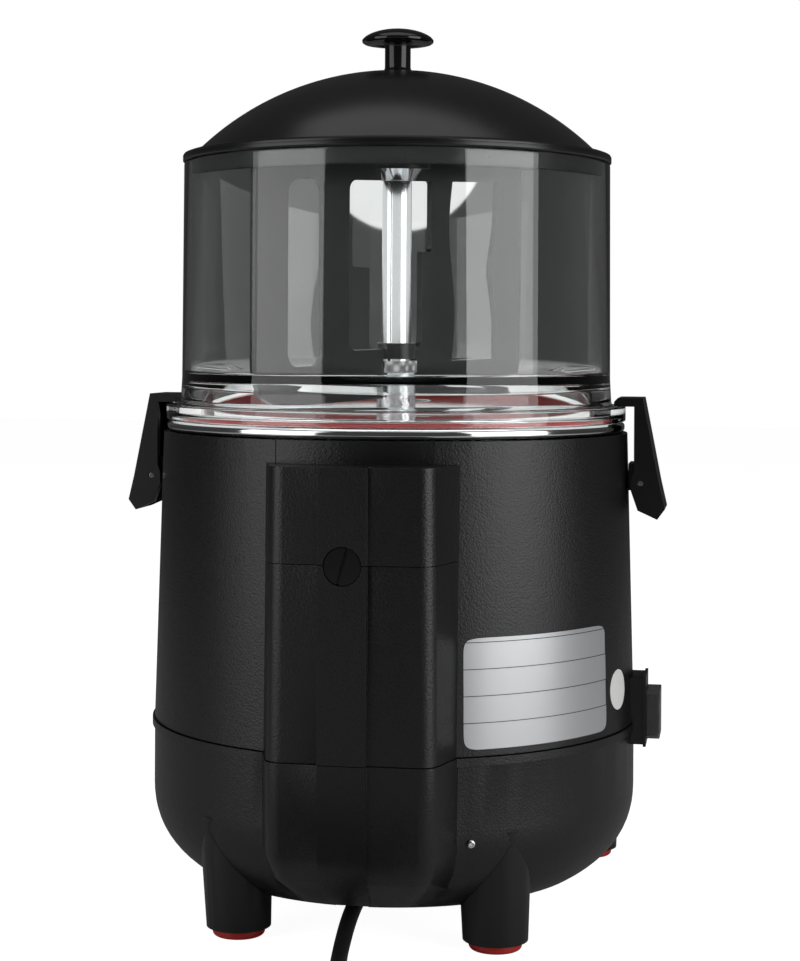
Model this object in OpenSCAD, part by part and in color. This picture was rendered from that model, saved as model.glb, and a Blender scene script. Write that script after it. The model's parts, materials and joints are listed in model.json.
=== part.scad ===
// Heated countertop dispenser with a clear bowl, a stirring paddle and a front tap.
// The bowl axis stands at y = axis_y, so that the origin is the middle of the footprint on the floor.
// Every module is drawn about the bowl axis, front towards -Y, and on_axis() puts it in place.

/* [Heights] */
// Height of the underside of the base above the counter
base_z = 22; // [18:1:30]
// Height of the seam between the base and the body
seam_z = 98.5; // [90:0.5:108]
// Height of the top of the body
body_top_z = 247; // [225:1:290]
// Height of the clear bowl above its gasket
bowl_h = 131; // [110:1:160]
// Rise of the lid dome above its rim
dome_h = 45; // [38:1:60]

/* [Diameters] */
// Outer radius of the body at its top
body_r = 122; // [114:0.5:134]
// Extra radius of the body at the seam
body_flare = 4; // [3:0.5:6]
// Outer radius of the clear bowl
bowl_r = 112.8; // [105:0.2:118]
// Wall of the clear bowl
bowl_wall = 3.4; // [2.5:0.1:5]
// Wall of the plastic mouldings
shell = 3; // [2:0.1:4]
// Radius of the stirrer's drive shaft
shaft_r = 4; // [3:0.1:5]
// Outer radius of the tube that guards the shaft
tube_r = 7.8; // [7:0.1:10]

/* [Rear spine] */
// Half width of the rear spine at its top
spine_half = 40; // [36:0.5:50]
// Extra half width of the spine at its foot
spine_flare = 1; // [0:0.5:8]
// Distance from the bowl axis to the spine's back
spine_reach = 143; // [139:0.5:150]
// Height of the top of the spine
spine_top_z = 236; // [220:1:240]
// Height of the joint between the reset cover and the spine
reset_cover_z = 191; // [180:1:200]

/* [Latches] */
// Width of a latch arm
latch_w = 30; // [24:1:36]
// Distance from the bowl axis to a latch pin
latch_pin_x = 129.8; // [129:0.2:140]
// Radius of a latch pin
latch_pin_r = 1.5; // [1.2:0.1:2.5]
// Width of the finger tab's reach beyond the pin
tab_reach = 12.5; // [8:0.5:14]

/* [Feet] */
// Half distance between the rear feet
rear_foot_x = 64; // [55:1:75]
// Distance from the bowl axis to the rear feet
rear_foot_y = 80; // [75:1:92]
// Half distance between the front feet
front_foot_x = 95; // [86:1:100]
// Distance from the bowl axis forward to the front feet
front_foot_y = 110; // [105:1:140]
// Radius of a foot at its bottom
foot_r = 16; // [13:0.5:18]
// Height of a rubber pad
pad_h = 4.5; // [3:0.5:7]

/* [Drip tray] */
// Width of the drip tray
tray_w = 196; // [170:1:200]
// Length of the drip tray
tray_l = 128; // [110:1:145]
// Height of the drip tray
tray_h = 30; // [24:1:36]
// Distance from the bowl axis to the tray's front
tray_reach = 265; // [250:1:285]

/* [Tap] */
// Distance from the bowl axis to the tap barrel
tap_reach = 190; // [170:1:200]
// Height of the tap's inlet
tap_z = 212; // [210:1:218]
// Outer radius of the tap barrel
tap_r = 13; // [12:0.5:16]
// Bore radius of the tap barrel
tap_bore = 9; // [7:0.5:10]

/* [Controls] */
// Height of the middle of the rocker switch
switch_z = 105; // [100:1:110]
// Height of the bezel of the rocker switch
switch_h = 34; // [30:1:40]
// Width of the bezel of the rocker switch
switch_w = 26; // [22:1:30]
// Radius of the thermostat knob
knob_r = 19; // [15:0.5:22]
// Height of the middle of the thermostat knob
knob_z = 138; // [130:1:145]

/* [Fits] */
// Radial clearance of a running fit
run_gap = 0.05; // [0.02:0.01:0.1]
// Gap between pieces that move past each other
slide_gap = 0.4; // [0.3:0.1:0.8]
// Gap between fixed mouldings
seam_gap = 0.3; // [0.2:0.1:0.5]

/* [Hidden] */
$fn = 96;

// Colours
black = [0.03, 0.03, 0.032];
dark = [0.06, 0.06, 0.065];
steel = [0.72, 0.73, 0.74];
clear = [0.85, 0.9, 0.88, 0.35];
red = [0.6, 0.03, 0.02];

// Footprint
strip_proud = 2;
strip_half = 11.5;
rear_reach = spine_reach + strip_proud;
axis_y = (tray_reach - rear_reach) / 2;

// Heights of the stack above the body
rim_gap = 0.3;
rim_h = 5.5;
rim_r = body_r - 1.5;
pan_top_z = body_top_z + rim_gap + rim_h;
pan_wall = 2;
gasket_h = 3;
gasket_r = bowl_r + 1;
bowl_z = pan_top_z + gasket_h;
bowl_top_z = bowl_z + bowl_h;
flange_h = 5;
flange_r = rim_r + 0.5;
ledge_z = bowl_z + 19;
bowl_in = bowl_r - bowl_wall;

// Body
body_low_r = body_r + body_flare;
lip_h = 4;
lip_proud = 1.2;
base_curve_z = 64;
base_floor_r = 100;
plate_r = 84;
plate_z = base_z + 7;
notch_half = 8;

// Stirrer
tube_wall = 1.6;
tube_top_z = bowl_top_z - 10;
nut_h = 6;
boss_h = 22;
nut_z = pan_top_z + boss_h;
paddle_t = 4;
paddle_low_z = bowl_z + 4;
paddle_top_z = bowl_top_z - 5;
paddle_half = bowl_in - 5.5;
paddle_phase = 237.5;
collar_r = tube_r + 2.4;
collar_z = nut_z + nut_h + 1;
collar_h = 8;
nut_room = tube_r + 4.4;
hub_r = 14.5;
hub_low_z = tube_top_z - 5;
hub_top_z = tube_top_z + 11;
bush_h = 8;
motor_z = 118;
stub_r = 3;
sleeve_z = motor_z + 27;
shaft_low_z = sleeve_z + 6;
tank_z = 168;
tank_r = 92;
element_r = 62;
element_leg = 3;

// Lid
lid_z = bowl_top_z + slide_gap;
rim_band = 4.6;
dome_r = bowl_r - 6;
lid_wall = 2.5;
lid_edge = bowl_r + 0.2;
skirt_r = bowl_in - 1.2;
skirt_h = 9;
sphere_r = (dome_r * dome_r + dome_h * dome_h) / (2 * dome_h);
dome_z = lid_z + rim_band;
dome_top_z = dome_z + dome_h;
knob_stem_r = 6.85;
knob_cap_r = 19;
screw_r = 2;

// Reset cap
cap_r = 8.7;
cap_z = reset_cover_z - 0.6;

// Latches
latch_pin_z = body_top_z - 25;
hook_t = 4.5;
hook_low_z = bowl_z + flange_h + slide_gap;
hook_x = bowl_r + 3.2;
web_t = 3;
bracket_half = 10;

// Spine
spine_spread = 14;
spine_shift = -3;
spine_root_y = 85;
foot_bend_z = 55;

// Base furniture
shelf_half = tray_w / 2 + slide_gap + shell;
shelf_z = 30;
tray_z = shelf_z + shell + slide_gap;
housing_half = 44;
housing_reach = body_low_r + 8;
housing_top_z = 190;

// Cord
cord_d = 8;
cord_x = 3;
cord_z = 21;
gland_y = 50;
cord_route = [
  [3, 62, 21], [3, 74, 21], [3.5, 84, 20.6], [4, 94, 18.3], [4.6, 103, 14.3], [4.8, 112, 9.8],
  [4.4, 122, 6.1], [3.2, 132, 4.5], [1, 143, 4.2], [-2, 156, 4.2], [-6, 170, 4.2],
  [-10.5, 184, 4.2], [-15, 197, 4.2], [-19, 208, 4.2]
];
coil_at = [22, 250];
coil_mid_r = 45;
coil_half = 13.2;
coil_top = 16.8;
tail_route = [[40, 304, 11.5], [52, 305, 8.5], [66, 306, 7.5], [80, 307, 9]];

module on_axis() { translate([0, axis_y, 0]) children(); }

module ring(outer, inner, low, high) {
  translate([0, 0, low]) difference() {
    cylinder(r = outer, h = high - low);
    translate([0, 0, -1]) cylinder(r = inner, h = high - low + 2);
  }
}

module rod(radius, low, high) {
  translate([0, 0, low]) cylinder(r = radius, h = high - low);
}

module round_rect(size, corner) {
  half = [size[0] / 2, size[1] / 2];
  square([size[0] - 2 * corner, size[1]], center = true);
  square([size[0], size[1] - 2 * corner], center = true);
  for (sx = [-1, 1]) for (sy = [-1, 1])
    translate([sx * (half[0] - corner), sy * (half[1] - corner)]) circle(r = corner, $fn = 48);
}

function curve(a, b, c, n) = [for (i = [0:n]) let (t = i / n)
  (1 - t) * (1 - t) * a + 2 * t * (1 - t) * b + t * t * c];

function body_radius(z) = body_low_r - body_flare * (z - seam_z) / (body_top_z - seam_z);

// Base moulding
function base_outline(inset) = concat(
  [[0, base_z + inset], [base_floor_r - inset, base_z + inset]],
  curve([base_floor_r - inset, base_z + inset], [body_low_r - inset, base_z + 15],
        [body_low_r - inset, base_curve_z], 12),
  [[body_low_r - inset, seam_z], [0, seam_z]]);

module spine_block(half_low, half_high, low, high, reach, corner) {
  back = reach - corner;
  translate([spine_shift, 0, 0]) hull() for (s = [-1, 1]) {
    translate([s * (half_low - corner), back, low]) cylinder(r = corner, h = 0.1, $fn = 32);
    translate([s * (half_high - corner), back, high - 0.1]) cylinder(r = corner, h = 0.1, $fn = 32);
    translate([s * (half_low + spine_spread), spine_root_y, low]) cylinder(r = 1, h = 0.1, $fn = 32);
    translate([s * (half_high + spine_spread), spine_root_y, high - 0.1])
      cylinder(r = 1, h = 0.1, $fn = 32);
  }
}

// A thin slice of the spine's plan at one height
module spine_slice(z, half, reach, corner) {
  translate([spine_shift, 0, z]) for (s = [-1, 1]) {
    translate([s * (half - corner), reach - corner, 0]) cylinder(r = corner, h = 0.1, $fn = 32);
    translate([s * (half + spine_spread), spine_root_y, 0]) cylinder(r = 1, h = 0.1, $fn = 32);
  }
}

module spine_foot(inset) {
  half = spine_half + spine_flare + 0.5 - inset;
  reach = spine_reach - inset;
  hull() {
    spine_slice(seam_z - 0.1, half, reach, 9);
    spine_slice(foot_bend_z, half - 0.5, reach - 0.5, 9);
    spine_slice(foot_bend_z - 12 + inset, half - 3, reach - 6, 9);
    spine_slice(base_z + 6 + inset, half - 12, reach - 25, 9);
  }
}

// A thin slice of the raised strip at one height
module strip_slice(z, half, reach) {
  translate([-half, reach - 30, z]) cube([2 * half, 30 + strip_proud, 0.1]);
}

module foot_strip() {
  hull() {
    strip_slice(seam_z - 0.1, strip_half, spine_reach);
    strip_slice(foot_bend_z, strip_half, spine_reach - 0.5);
    strip_slice(foot_bend_z - 12, strip_half - 0.5, spine_reach - 6);
    strip_slice(base_z + 6, strip_half - 2, spine_reach - 25);
  }
}

module base_mass() {
  rotate_extrude() polygon(base_outline(0));
  spine_foot(0);
  foot_strip();
}

module switch_window() {
  gap = seam_gap;
  translate([-body_low_r - 20, -switch_w / 2 - gap, switch_z - switch_h / 2 - gap])
    cube([40, switch_w + 2 * gap, switch_h + 2 * gap]);
}

module base_shell() {
  color(black) difference() {
    union() {
      base_mass();
      difference() {
        rod(body_low_r + lip_proud, seam_z - lip_h, seam_z);
        spine_foot(0);
      }
    }
    rotate_extrude() polygon(base_outline(shell));
    spine_foot(shell);
    rod(body_low_r - shell, seam_z - 1, seam_z + 1);
    rod(plate_r, 0, plate_z);
    translate([cord_x - notch_half, 40, 0]) cube([2 * notch_half, 120, base_z + 6]);
    switch_window();
  }
}

module bottom_plate() {
  color(steel) difference() {
    rod(plate_r + 6, plate_z, plate_z + 1.5);
    for (a = [45:90:315]) rotate(a) translate([60, 0, 0]) rod(6, plate_z - 1, plate_z + 3);
  }
}

module tray_shelf() {
  front = tray_reach - 8;
  back = 70;
  color(black) difference() {
    translate([0, -(front + back) / 2, shelf_z])
      linear_extrude(tray_h) round_rect([2 * shelf_half, front - back], 14);
    translate([-tray_w / 2 - slide_gap, -front - 1, shelf_z + shell])
      cube([tray_w + 2 * slide_gap, tray_l + 4, tray_h]);
    base_clearance(seam_gap);
  }
}

// Room that the base takes out of the pieces that meet it
module base_clearance(gap) { rotate_extrude() polygon(base_outline(-gap)); }

module front_housing() {
  low = seam_z + 1;
  knob_hole = 4.5;
  color(black) difference() {
    translate([0, 0, low]) linear_extrude(housing_top_z - low)
      translate([0, -housing_reach / 2 - 30])
        round_rect([2 * housing_half, housing_reach - 60], 10);
    translate([0, 0, low + shell]) linear_extrude(housing_top_z - low - 2 * shell)
      translate([0, -housing_reach / 2 - 30 + shell])
        round_rect([2 * (housing_half - shell), housing_reach - 60], 8);
    rod(body_low_r + seam_gap, low - 1, housing_top_z + 1);
    translate([0, 0, knob_z]) rotate([90, 0, 0]) cylinder(r = knob_hole, h = 200);
    translate([-24, 0, knob_z + 34]) rotate([90, 0, 0]) cylinder(r = 4.3, h = 200);
  }
}

module cover_window(gap) {
  half = spine_half - 2 + gap;
  translate([-half, 60, seam_z - 1]) cube([2 * half, 100, body_top_z - seam_z + 2]);
}

module body_shell() {
  h = body_top_z - seam_z - seam_gap;
  low = seam_z + seam_gap;
  color(black) difference() {
    translate([0, 0, low]) cylinder(r1 = body_low_r, r2 = body_r, h = h);
    translate([0, 0, low - 0.01])
      cylinder(r1 = body_low_r - shell, r2 = body_r - shell, h = h + 0.02);
    cover_window(seam_gap);
    switch_window();
    translate([0, 0, knob_z]) rotate([90, 0, 0]) cylinder(r = 24, h = 200);
    translate([0, 0, tap_z]) rotate([90, 0, 0]) cylinder(r = 10.5, h = 200);
  }
}

module rear_strip(low, high) {
  translate([-strip_half, spine_reach - 1, low]) cube([2 * strip_half, strip_proud + 1, high - low]);
}

// The body's cone, made larger or smaller by a gap
module body_cone(gap, low, high) {
  translate([0, 0, low])
    cylinder(r1 = body_radius(low) + gap, r2 = body_radius(high) + gap, h = high - low);
}

module rear_cover() {
  low = seam_z + seam_gap;
  high = reset_cover_z - seam_gap;
  half_low = spine_half + spine_flare;
  mix = (reset_cover_z - seam_z) / (spine_top_z - seam_z);
  half_mid = half_low - spine_flare * mix;
  color(black) difference() {
    union() {
      intersection() {
        body_cone(0, low, body_top_z);
        cover_window(0);
      }
      difference() {
        spine_block(half_low, half_mid, low, high, spine_reach - 0.8, 9);
        difference() {
          body_cone(seam_gap, low - 1, body_top_z);
          cover_window(0);
        }
      }
      rear_strip(low, high);
    }
    body_cone(-shell, low - 1, body_top_z + 1);
    difference() {
      spine_block(half_low - shell, half_mid - shell, low - 1, high - shell,
                  spine_reach - shell - 0.8, 7);
      cap_boss(11.5);
    }
    translate([0, 100, cap_z]) cube([28, 70, 27], center = true);
    cap_hole();
  }
}

module reset_cover() {
  mix = (reset_cover_z - seam_z) / (spine_top_z - seam_z);
  half_mid = spine_half + spine_flare * (1 - mix);
  color(black) difference() {
    union() {
      difference() {
        spine_block(half_mid, spine_half, reset_cover_z, spine_top_z, spine_reach, 9);
        body_cone(seam_gap, reset_cover_z - 1, spine_top_z + 1);
      }
      rear_strip(reset_cover_z, spine_top_z);
    }
    difference() {
      spine_block(half_mid - shell, spine_half - shell, reset_cover_z - 1, spine_top_z - shell,
                  spine_reach - shell, 7);
      cap_boss(11.5);
    }
    cap_hole();
  }
}

module cap_hole() {
  translate([0, 0, cap_z]) rotate([-90, 0, 0]) cylinder(r = cap_r + slide_gap, h = 200);
}

// Material left round the screw cap over the reset button
module cap_boss(radius) {
  translate([0, spine_reach - 7, cap_z]) rotate([-90, 0, 0]) cylinder(r = radius, h = 9);
}

module reset_cap() {
  slot = 1.6;
  y0 = spine_reach - 6;
  color(black) translate([0, y0, cap_z]) rotate([-90, 0, 0]) difference() {
    cylinder(r = cap_r, h = 7.4);
    rotate(75) translate([-cap_r - 1, -slot / 2, 5.4]) cube([2 * cap_r + 2, slot, 3]);
    translate([0, 0, -1]) cylinder(r = cap_r - 2.5, h = 4);
  }
}

module overheat_cutout() {
  color(dark) translate([0, 0, cap_z]) rotate([-90, 0, 0]) difference() {
    translate([0, 0, body_r - 5]) cylinder(r = 12, h = 9);
    translate([0, 0, 0]) cylinder(r = 3 + run_gap, h = 200);
  }
}

module reset_button() {
  color(red) translate([0, 0, cap_z]) rotate([-90, 0, 0])
    translate([0, 0, body_r - 1]) cylinder(r = 3, h = 9);
}

// Feet
module leg(x, y, top, lean) {
  taper = 0.04;
  hull() {
    translate([x, y, pad_h]) cylinder(r = foot_r, h = 0.1, $fn = 64);
    translate([x, y + lean, top - 0.1])
      cylinder(r = foot_r + taper * (top - pad_h), h = 0.1, $fn = 64);
  }
}

module rear_legs() {
  lean = 7;
  color(black) difference() {
    for (s = [-1, 1]) leg(s * rear_foot_x, rear_foot_y, 62, lean);
    base_clearance(0.1);
  }
}

module front_legs() {
  color(black) for (s = [-1, 1]) leg(s * front_foot_x, -front_foot_y, shelf_z, 0);
}

module foot_pads() {
  color(red) for (s = [-1, 1]) {
    translate([s * rear_foot_x, rear_foot_y, 0]) cylinder(r = foot_r - 3, h = pad_h);
    translate([s * front_foot_x, -front_foot_y, 0]) cylinder(r = foot_r - 3, h = pad_h);
  }
}

// Pan, tank and bowl
drain_y = 76;
drain_r = 7;
pipe_r = 8;
neck_back = body_r - 8;

module heating_pan() {
  low = body_top_z + rim_gap;
  color(steel) difference() {
    rotate_extrude() polygon([
      [0, pan_top_z - pan_wall], [rim_r - 3, pan_top_z - pan_wall], [rim_r - 3, low],
      [rim_r - 1.5, low], [rim_r, low + 1.5], [rim_r, pan_top_z - 1.5],
      [rim_r - 1.5, pan_top_z], [0, pan_top_z]]);
    rod(tube_r, pan_top_z - 10, pan_top_z + 10);
    translate([0, -drain_y, 0]) rod(drain_r, pan_top_z - 10, pan_top_z + 10);
  }
}

module water_tank() {
  color(steel) difference() {
    rod(tank_r, tank_z, pan_top_z - pan_wall);
    rod(tank_r - 1.5, tank_z + 1.5, pan_top_z);
    rod(tube_r, tank_z - 1, pan_top_z);
    for (s = [-1, 1]) translate([s * element_r, 0, 0]) rod(element_leg, tank_z - 1, tank_z + 3);
    translate([0, -tank_r, tap_z]) rotate([90, 0, 0])
      cylinder(r = pipe_r + seam_gap, h = 24, center = true);
  }
}

module bowl_gasket() {
  color(red) ring(gasket_r, bowl_in - 7, pan_top_z, bowl_z);
}

module bowl() {
  foot_in = bowl_in - 6;
  color(clear) rotate_extrude($fn = 128) polygon([
    [foot_in, bowl_z], [gasket_r + 0.8, bowl_z], [gasket_r + 0.8, pan_top_z + seam_gap],
    [flange_r, pan_top_z + seam_gap], [flange_r, bowl_z + flange_h],
    [bowl_r + 2.4, bowl_z + flange_h], [bowl_r + 1.5, bowl_z + flange_h + 0.9], [bowl_r + 0.6, ledge_z], [bowl_r, bowl_top_z],
    [bowl_in, bowl_top_z], [bowl_in, ledge_z + 3], [foot_in + 1.5, ledge_z - 2],
    [foot_in, ledge_z - 5]]);
}

// Stirrer
module centre_tube() {
  color(steel) ring(tube_r, tube_r - tube_wall, tank_z - 8, tube_top_z);
}

module tube_nut() {
  color(steel) difference() {
    union() {
      rod(tube_r + 2.6, pan_top_z, nut_z);
      translate([0, 0, nut_z]) cylinder(r = tube_r + 3.4, h = nut_h, $fn = 6);
    }
    rod(tube_r, pan_top_z - 1, nut_z + nut_h + 1);
  }
}

module shaft_bushes() {
  bore = shaft_r + run_gap;
  color([0.7, 0.5, 0.25]) {
    ring(tube_r - tube_wall, bore, tank_z - 8, tank_z - 8 + bush_h);
    ring(tube_r - tube_wall, bore, tube_top_z - bush_h, tube_top_z);
  }
}

module drive_shaft() {
  color(steel) rod(shaft_r, shaft_low_z, hub_top_z);
}

module paddle_plate() {
  low = paddle_low_z;
  high = paddle_top_z;
  bar = 10;
  window_top = high - bar;
  outer_bar = 22;
  mid_bar = [38, 57];
  right_bar = 18;
  step_x = 26;
  step_z = window_top - 36;
  difference() {
    polygon(concat([[-paddle_half, high]],
      curve([-paddle_half, low + 22], [-paddle_half, low + 4], [-paddle_half + 20, low], 6),
      curve([paddle_half - 20, low], [paddle_half, low + 4], [paddle_half, low + 22], 6),
      [[paddle_half, high]]));
    window(-paddle_half + outer_bar, -mid_bar[1], low + 20, window_top, 7);
    window(-mid_bar[0], right_bar, low + 27, window_top, 5);
    window(0, step_x, step_z, window_top, 2);
    wavy_window(low + 20, window_top);
  }
}

module window(left, right, low, high, corner) {
  translate([(left + right) / 2, (low + high) / 2]) round_rect([right - left, high - low], corner);
}

module wavy_window(low, high) {
  steps = 16;
  inner_x = 43;
  outer_x = paddle_half - 22;
  span = high - low;
  polygon(concat(
    [for (i = [0:steps]) [inner_x + 2.5 * sin(360 * i / steps), low + span * i / steps]],
    [for (i = [0:steps]) [outer_x - 5 * pow(sin(180 * i / steps), 6), high - span * i / steps]]));
}

module stirring_paddle() {
  bore = tube_r + slide_gap;
  color(black) rotate(paddle_phase) difference() {
    union() {
      translate([0, paddle_t / 2, 0]) rotate([90, 0, 0]) linear_extrude(paddle_t) paddle_plate();
      rod(collar_r, collar_z, collar_z + collar_h);
      rod(hub_r + 3, paddle_top_z - 4, paddle_top_z + 3);
    }
    rod(nut_room, paddle_low_z - 10, collar_z);
    rod(bore, collar_z - 1, collar_z + collar_h + 1);
    rod(hub_r, hub_low_z - 20, hub_top_z + 1);
  }
}

module stirrer_hub() {
  bore = tube_r + slide_gap;
  color(steel) rotate_extrude() polygon([
    [bore, hub_low_z], [bore + 1.2, hub_low_z], [hub_r, hub_low_z + 7.5], [hub_r, hub_top_z - 2],
    [hub_r - 2, hub_top_z], [shaft_r, hub_top_z], [shaft_r, tube_top_z + 1],
    [bore, tube_top_z + 1]]);
}

// The motor's output stub, with the sleeve that grips the drive shaft
module motor_coupling() {
  color(steel) difference() {
    union() {
      rod(stub_r, motor_z + 12, sleeve_z);
      rod(8, sleeve_z, sleeve_z + 13);
    }
    rod(shaft_r, shaft_low_z, sleeve_z + 14);
  }
}

// Drive and electrics
module gear_motor() {
  color(dark) difference() {
    union() {
      translate([0, 8, motor_z - 40]) linear_extrude(34) round_rect([60, 60], 8);
      translate([0, 0, motor_z - 6]) linear_extrude(22) round_rect([70, 52], 8);
      rod(9, motor_z, motor_z + 20);
    }
    rod(stub_r + run_gap, motor_z + 11, motor_z + 40);
  }
}

module motor_bracket() {
  low = motor_z + 16;
  color(steel) difference() {
    translate([-95, -15, low]) cube([190, 30, 2]);
    rod(9 + seam_gap, low - 1, low + 3);
    for (s = [-1, 1]) translate([s * 28, 0, 0]) rod(2.2, low - 1, low + 3);
  }
}

module heating_element() {
  color(steel) {
    translate([0, 0, tank_z + 14]) rotate_extrude() translate([element_r, 0]) circle(r = 4, $fn = 32);
    for (s = [-1, 1]) translate([s * element_r, 0, 0]) rod(element_leg, tank_z - 14, tank_z + 12);
  }
}

module thermostat() {
  y0 = -housing_reach + shell;
  color(dark) {
    translate([0, y0 + 6, knob_z]) rotate([90, 0, 0]) linear_extrude(4) round_rect([34, 30], 4);
    translate([0, y0 + 22, knob_z]) rotate([90, 0, 0]) linear_extrude(16) round_rect([30, 26], 4);
  }
}

module thermostat_knob() {
  grip = 12;
  face = -housing_reach - slide_gap;
  color(black) translate([0, face, knob_z]) rotate([90, 0, 0]) difference() {
    union() {
      cylinder(r = knob_r, h = 3);
      cylinder(r1 = knob_r - 3, r2 = knob_r - 5, h = grip + 3);
      translate([0, 0, -shell - slide_gap - 1.5]) cylinder(r = 3, h = 8);
    }
    translate([-0.6, 4, grip + 2]) cube([1.2, knob_r, 3]);
  }
}

module pilot_lamp() {
  face = -housing_reach;
  color([0.9, 0.4, 0.05]) translate([-24, face + shell + 4, knob_z + 34]) rotate([90, 0, 0]) {
    cylinder(r = 4, h = shell + 4.01);
    translate([0, 0, shell + 4]) cylinder(r1 = 5.5, r2 = 4.5, h = 3);
  }
}

module terminal_block() {
  color([0.85, 0.85, 0.8]) translate([20, 40, plate_z + 1.5]) difference() {
    cube([48, 20, 16]);
    for (i = [0:3]) translate([6 + 12 * i, -1, 8]) rotate([-90, 0, 0]) cylinder(r = 2, h = 22);
  }
}

// Lid
module lid() {
  centre_z = dome_top_z - sphere_r;
  steps = 20;
  reach = asin(dome_r / sphere_r);
  inner_r = sphere_r - lid_wall;
  inner_reach = asin((skirt_r - lid_wall) / inner_r);
  color(black) difference() {
    rotate_extrude($fn = 128) polygon(concat(
      [for (i = [0:steps]) let (a = reach * i / steps)
        [sphere_r * sin(a), centre_z + sphere_r * cos(a)]],
      [[lid_edge - 1, dome_z], [lid_edge, dome_z - 1], [lid_edge, lid_z + 0.8],
       [lid_edge - 0.8, lid_z], [skirt_r, lid_z], [skirt_r, lid_z - skirt_h],
       [skirt_r - lid_wall, lid_z - skirt_h]],
      [for (i = [0:steps]) let (a = inner_reach * (1 - i / steps))
        [inner_r * sin(a), centre_z + inner_r * cos(a)]]));
    rod(screw_r + run_gap, dome_top_z - 10, dome_top_z + 1);
  }
}

module lid_knob() {
  low = dome_top_z + 0.1;
  color(black) difference() {
    rotate_extrude() polygon([
      [0, low], [knob_stem_r + 1, low], [knob_stem_r, low + 2], [knob_stem_r, low + 11],
      [knob_cap_r - 4, low + 14], [knob_cap_r - 1, low + 15], [knob_cap_r, low + 16.5],
      [knob_cap_r - 1, low + 18.3], [knob_cap_r * 0.66, low + 20.8],
      [knob_cap_r * 0.33, low + 22.2], [0, low + 22.6]]);
    rod(screw_r + run_gap, low - 1, low + 12);
  }
}

module lid_screw() {
  low = dome_top_z - lid_wall;
  color(steel) {
    rod(4.5, low - 2.6, low - 0.2);
    rod(screw_r, low - 1, dome_top_z + 10);
  }
}

// Latches, drawn on the +X side and mirrored for the other
module sided(side) {
  if (side < 0) mirror([1, 0, 0]) children();
  else children();
}

module latch_bracket(side) {
  inner = body_radius(latch_pin_z - 10) + seam_gap;
  eye_r = 4;
  color(black) sided(side) difference() {
    union() {
      translate([inner, -bracket_half, latch_pin_z - eye_r])
        cube([latch_pin_x - inner, 2 * bracket_half, eye_r + 10]);
      translate([latch_pin_x, 0, latch_pin_z]) rotate([90, 0, 0])
        cylinder(r = eye_r, h = 2 * bracket_half, center = true);
    }
    translate([latch_pin_x, 0, latch_pin_z]) rotate([90, 0, 0])
      cylinder(r = latch_pin_r, h = 60, center = true);
  }
}

module latch_pin(side) {
  color(steel) translate([side * latch_pin_x, 0, latch_pin_z]) rotate([90, 0, 0])
    cylinder(r = latch_pin_r, h = latch_w - 1, center = true);
}

module latch_arm(side) {
  x0 = latch_pin_x;
  pz = latch_pin_z;
  top = hook_low_z + hook_t;
  tab_z = pz - 13;
  web_top = x0 + 1;
  web_mid = x0 + 9.5;
  tab_x = x0 + tab_reach;
  arm = [[hook_x, hook_low_z], [x0 - 3.5, hook_low_z], [x0 - 3.5, pz + 6], [x0 - 5, pz + 2],
         [x0 - 5, pz - 4], [x0 - 1.5, pz - 14], [tab_x - 4, tab_z - 5.5], [tab_x, tab_z],
         [web_mid, pz], [web_top, top], [hook_x + 2, top], [hook_x, top - 2]];
  channel = [[x0 - 20, hook_low_z - 0.01], [x0 - 20, pz - 22], [tab_x - 6, pz - 22],
             [tab_x - 4.4, tab_z - 2], [web_mid - web_t, pz], [web_top - web_t, hook_low_z - 0.01]];
  color(black) sided(side) difference() {
    translate([0, latch_w / 2, 0]) rotate([90, 0, 0]) linear_extrude(latch_w)
      polygon(arm);
    translate([0, bracket_half + slide_gap, 0]) rotate([90, 0, 0])
      linear_extrude(2 * (bracket_half + slide_gap)) polygon(channel);
    translate([x0, 0, pz]) rotate([90, 0, 0])
      cylinder(r = latch_pin_r + run_gap, h = 60, center = true);
  }
}

// Tap
module along_front(start, finish, radius) {
  translate([0, -start, tap_z]) rotate([90, 0, 0]) cylinder(r = radius, h = finish - start);
}

module at_tap() { translate([0, -tap_reach, 0]) children(); }

module outlet_elbow() {
  passage = 5.5;
  color(steel) difference() {
    union() {
      translate([0, -drain_y, 0]) rod(drain_r, tap_z - 9, pan_top_z);
      along_front(drain_y, neck_back, pipe_r);
    }
    translate([0, -drain_y, 0]) rod(drain_r - 1.5, tap_z - 5, pan_top_z + 1);
    along_front(drain_y, neck_back + 1, passage);
  }
}

tap_low_z = tap_z - 22;
tap_high_z = tap_z + 16;
nozzle_h = 14;
nozzle_r = 5.5;
stem_r = 3;
lever_z = tap_high_z + 19;
lever_pin_r = 1.5;
lever_w = 6.4;

module tap_body() {
  color(black) difference() {
    union() {
      at_tap() rod(tap_r, tap_low_z, tap_high_z);
      at_tap() translate([0, 0, tap_low_z - nozzle_h])
        cylinder(r1 = nozzle_r + 2.5, r2 = nozzle_r + 4.5, h = nozzle_h + 0.01);
      along_front(neck_back, tap_reach, 10);
      along_front(body_r + 3, body_r + 7, 16);
    }
    at_tap() rod(tap_bore, tap_low_z + 4, tap_high_z + 1);
    at_tap() rod(nozzle_r, tap_low_z - nozzle_h - 1, tap_low_z + 5);
    along_front(neck_back - 1, tap_reach, 5.5);
  }
}

module tap_bonnet() {
  flange = 6;
  color(black) at_tap() difference() {
    union() {
      rod(tap_r + 2, tap_high_z, tap_high_z + flange);
      translate([-7, -5, tap_high_z + flange - 1]) cube([14, 10, 19]);
    }
    rod(stem_r + run_gap, tap_high_z - 1, tap_high_z + 30);
    translate([-lever_w / 2 - slide_gap, -10, lever_z - 7.5])
      cube([lever_w + 2 * slide_gap, 20, 20]);
    translate([0, 0, lever_z]) rotate([0, 90, 0]) cylinder(r = lever_pin_r, h = 40, center = true);
  }
}

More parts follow.
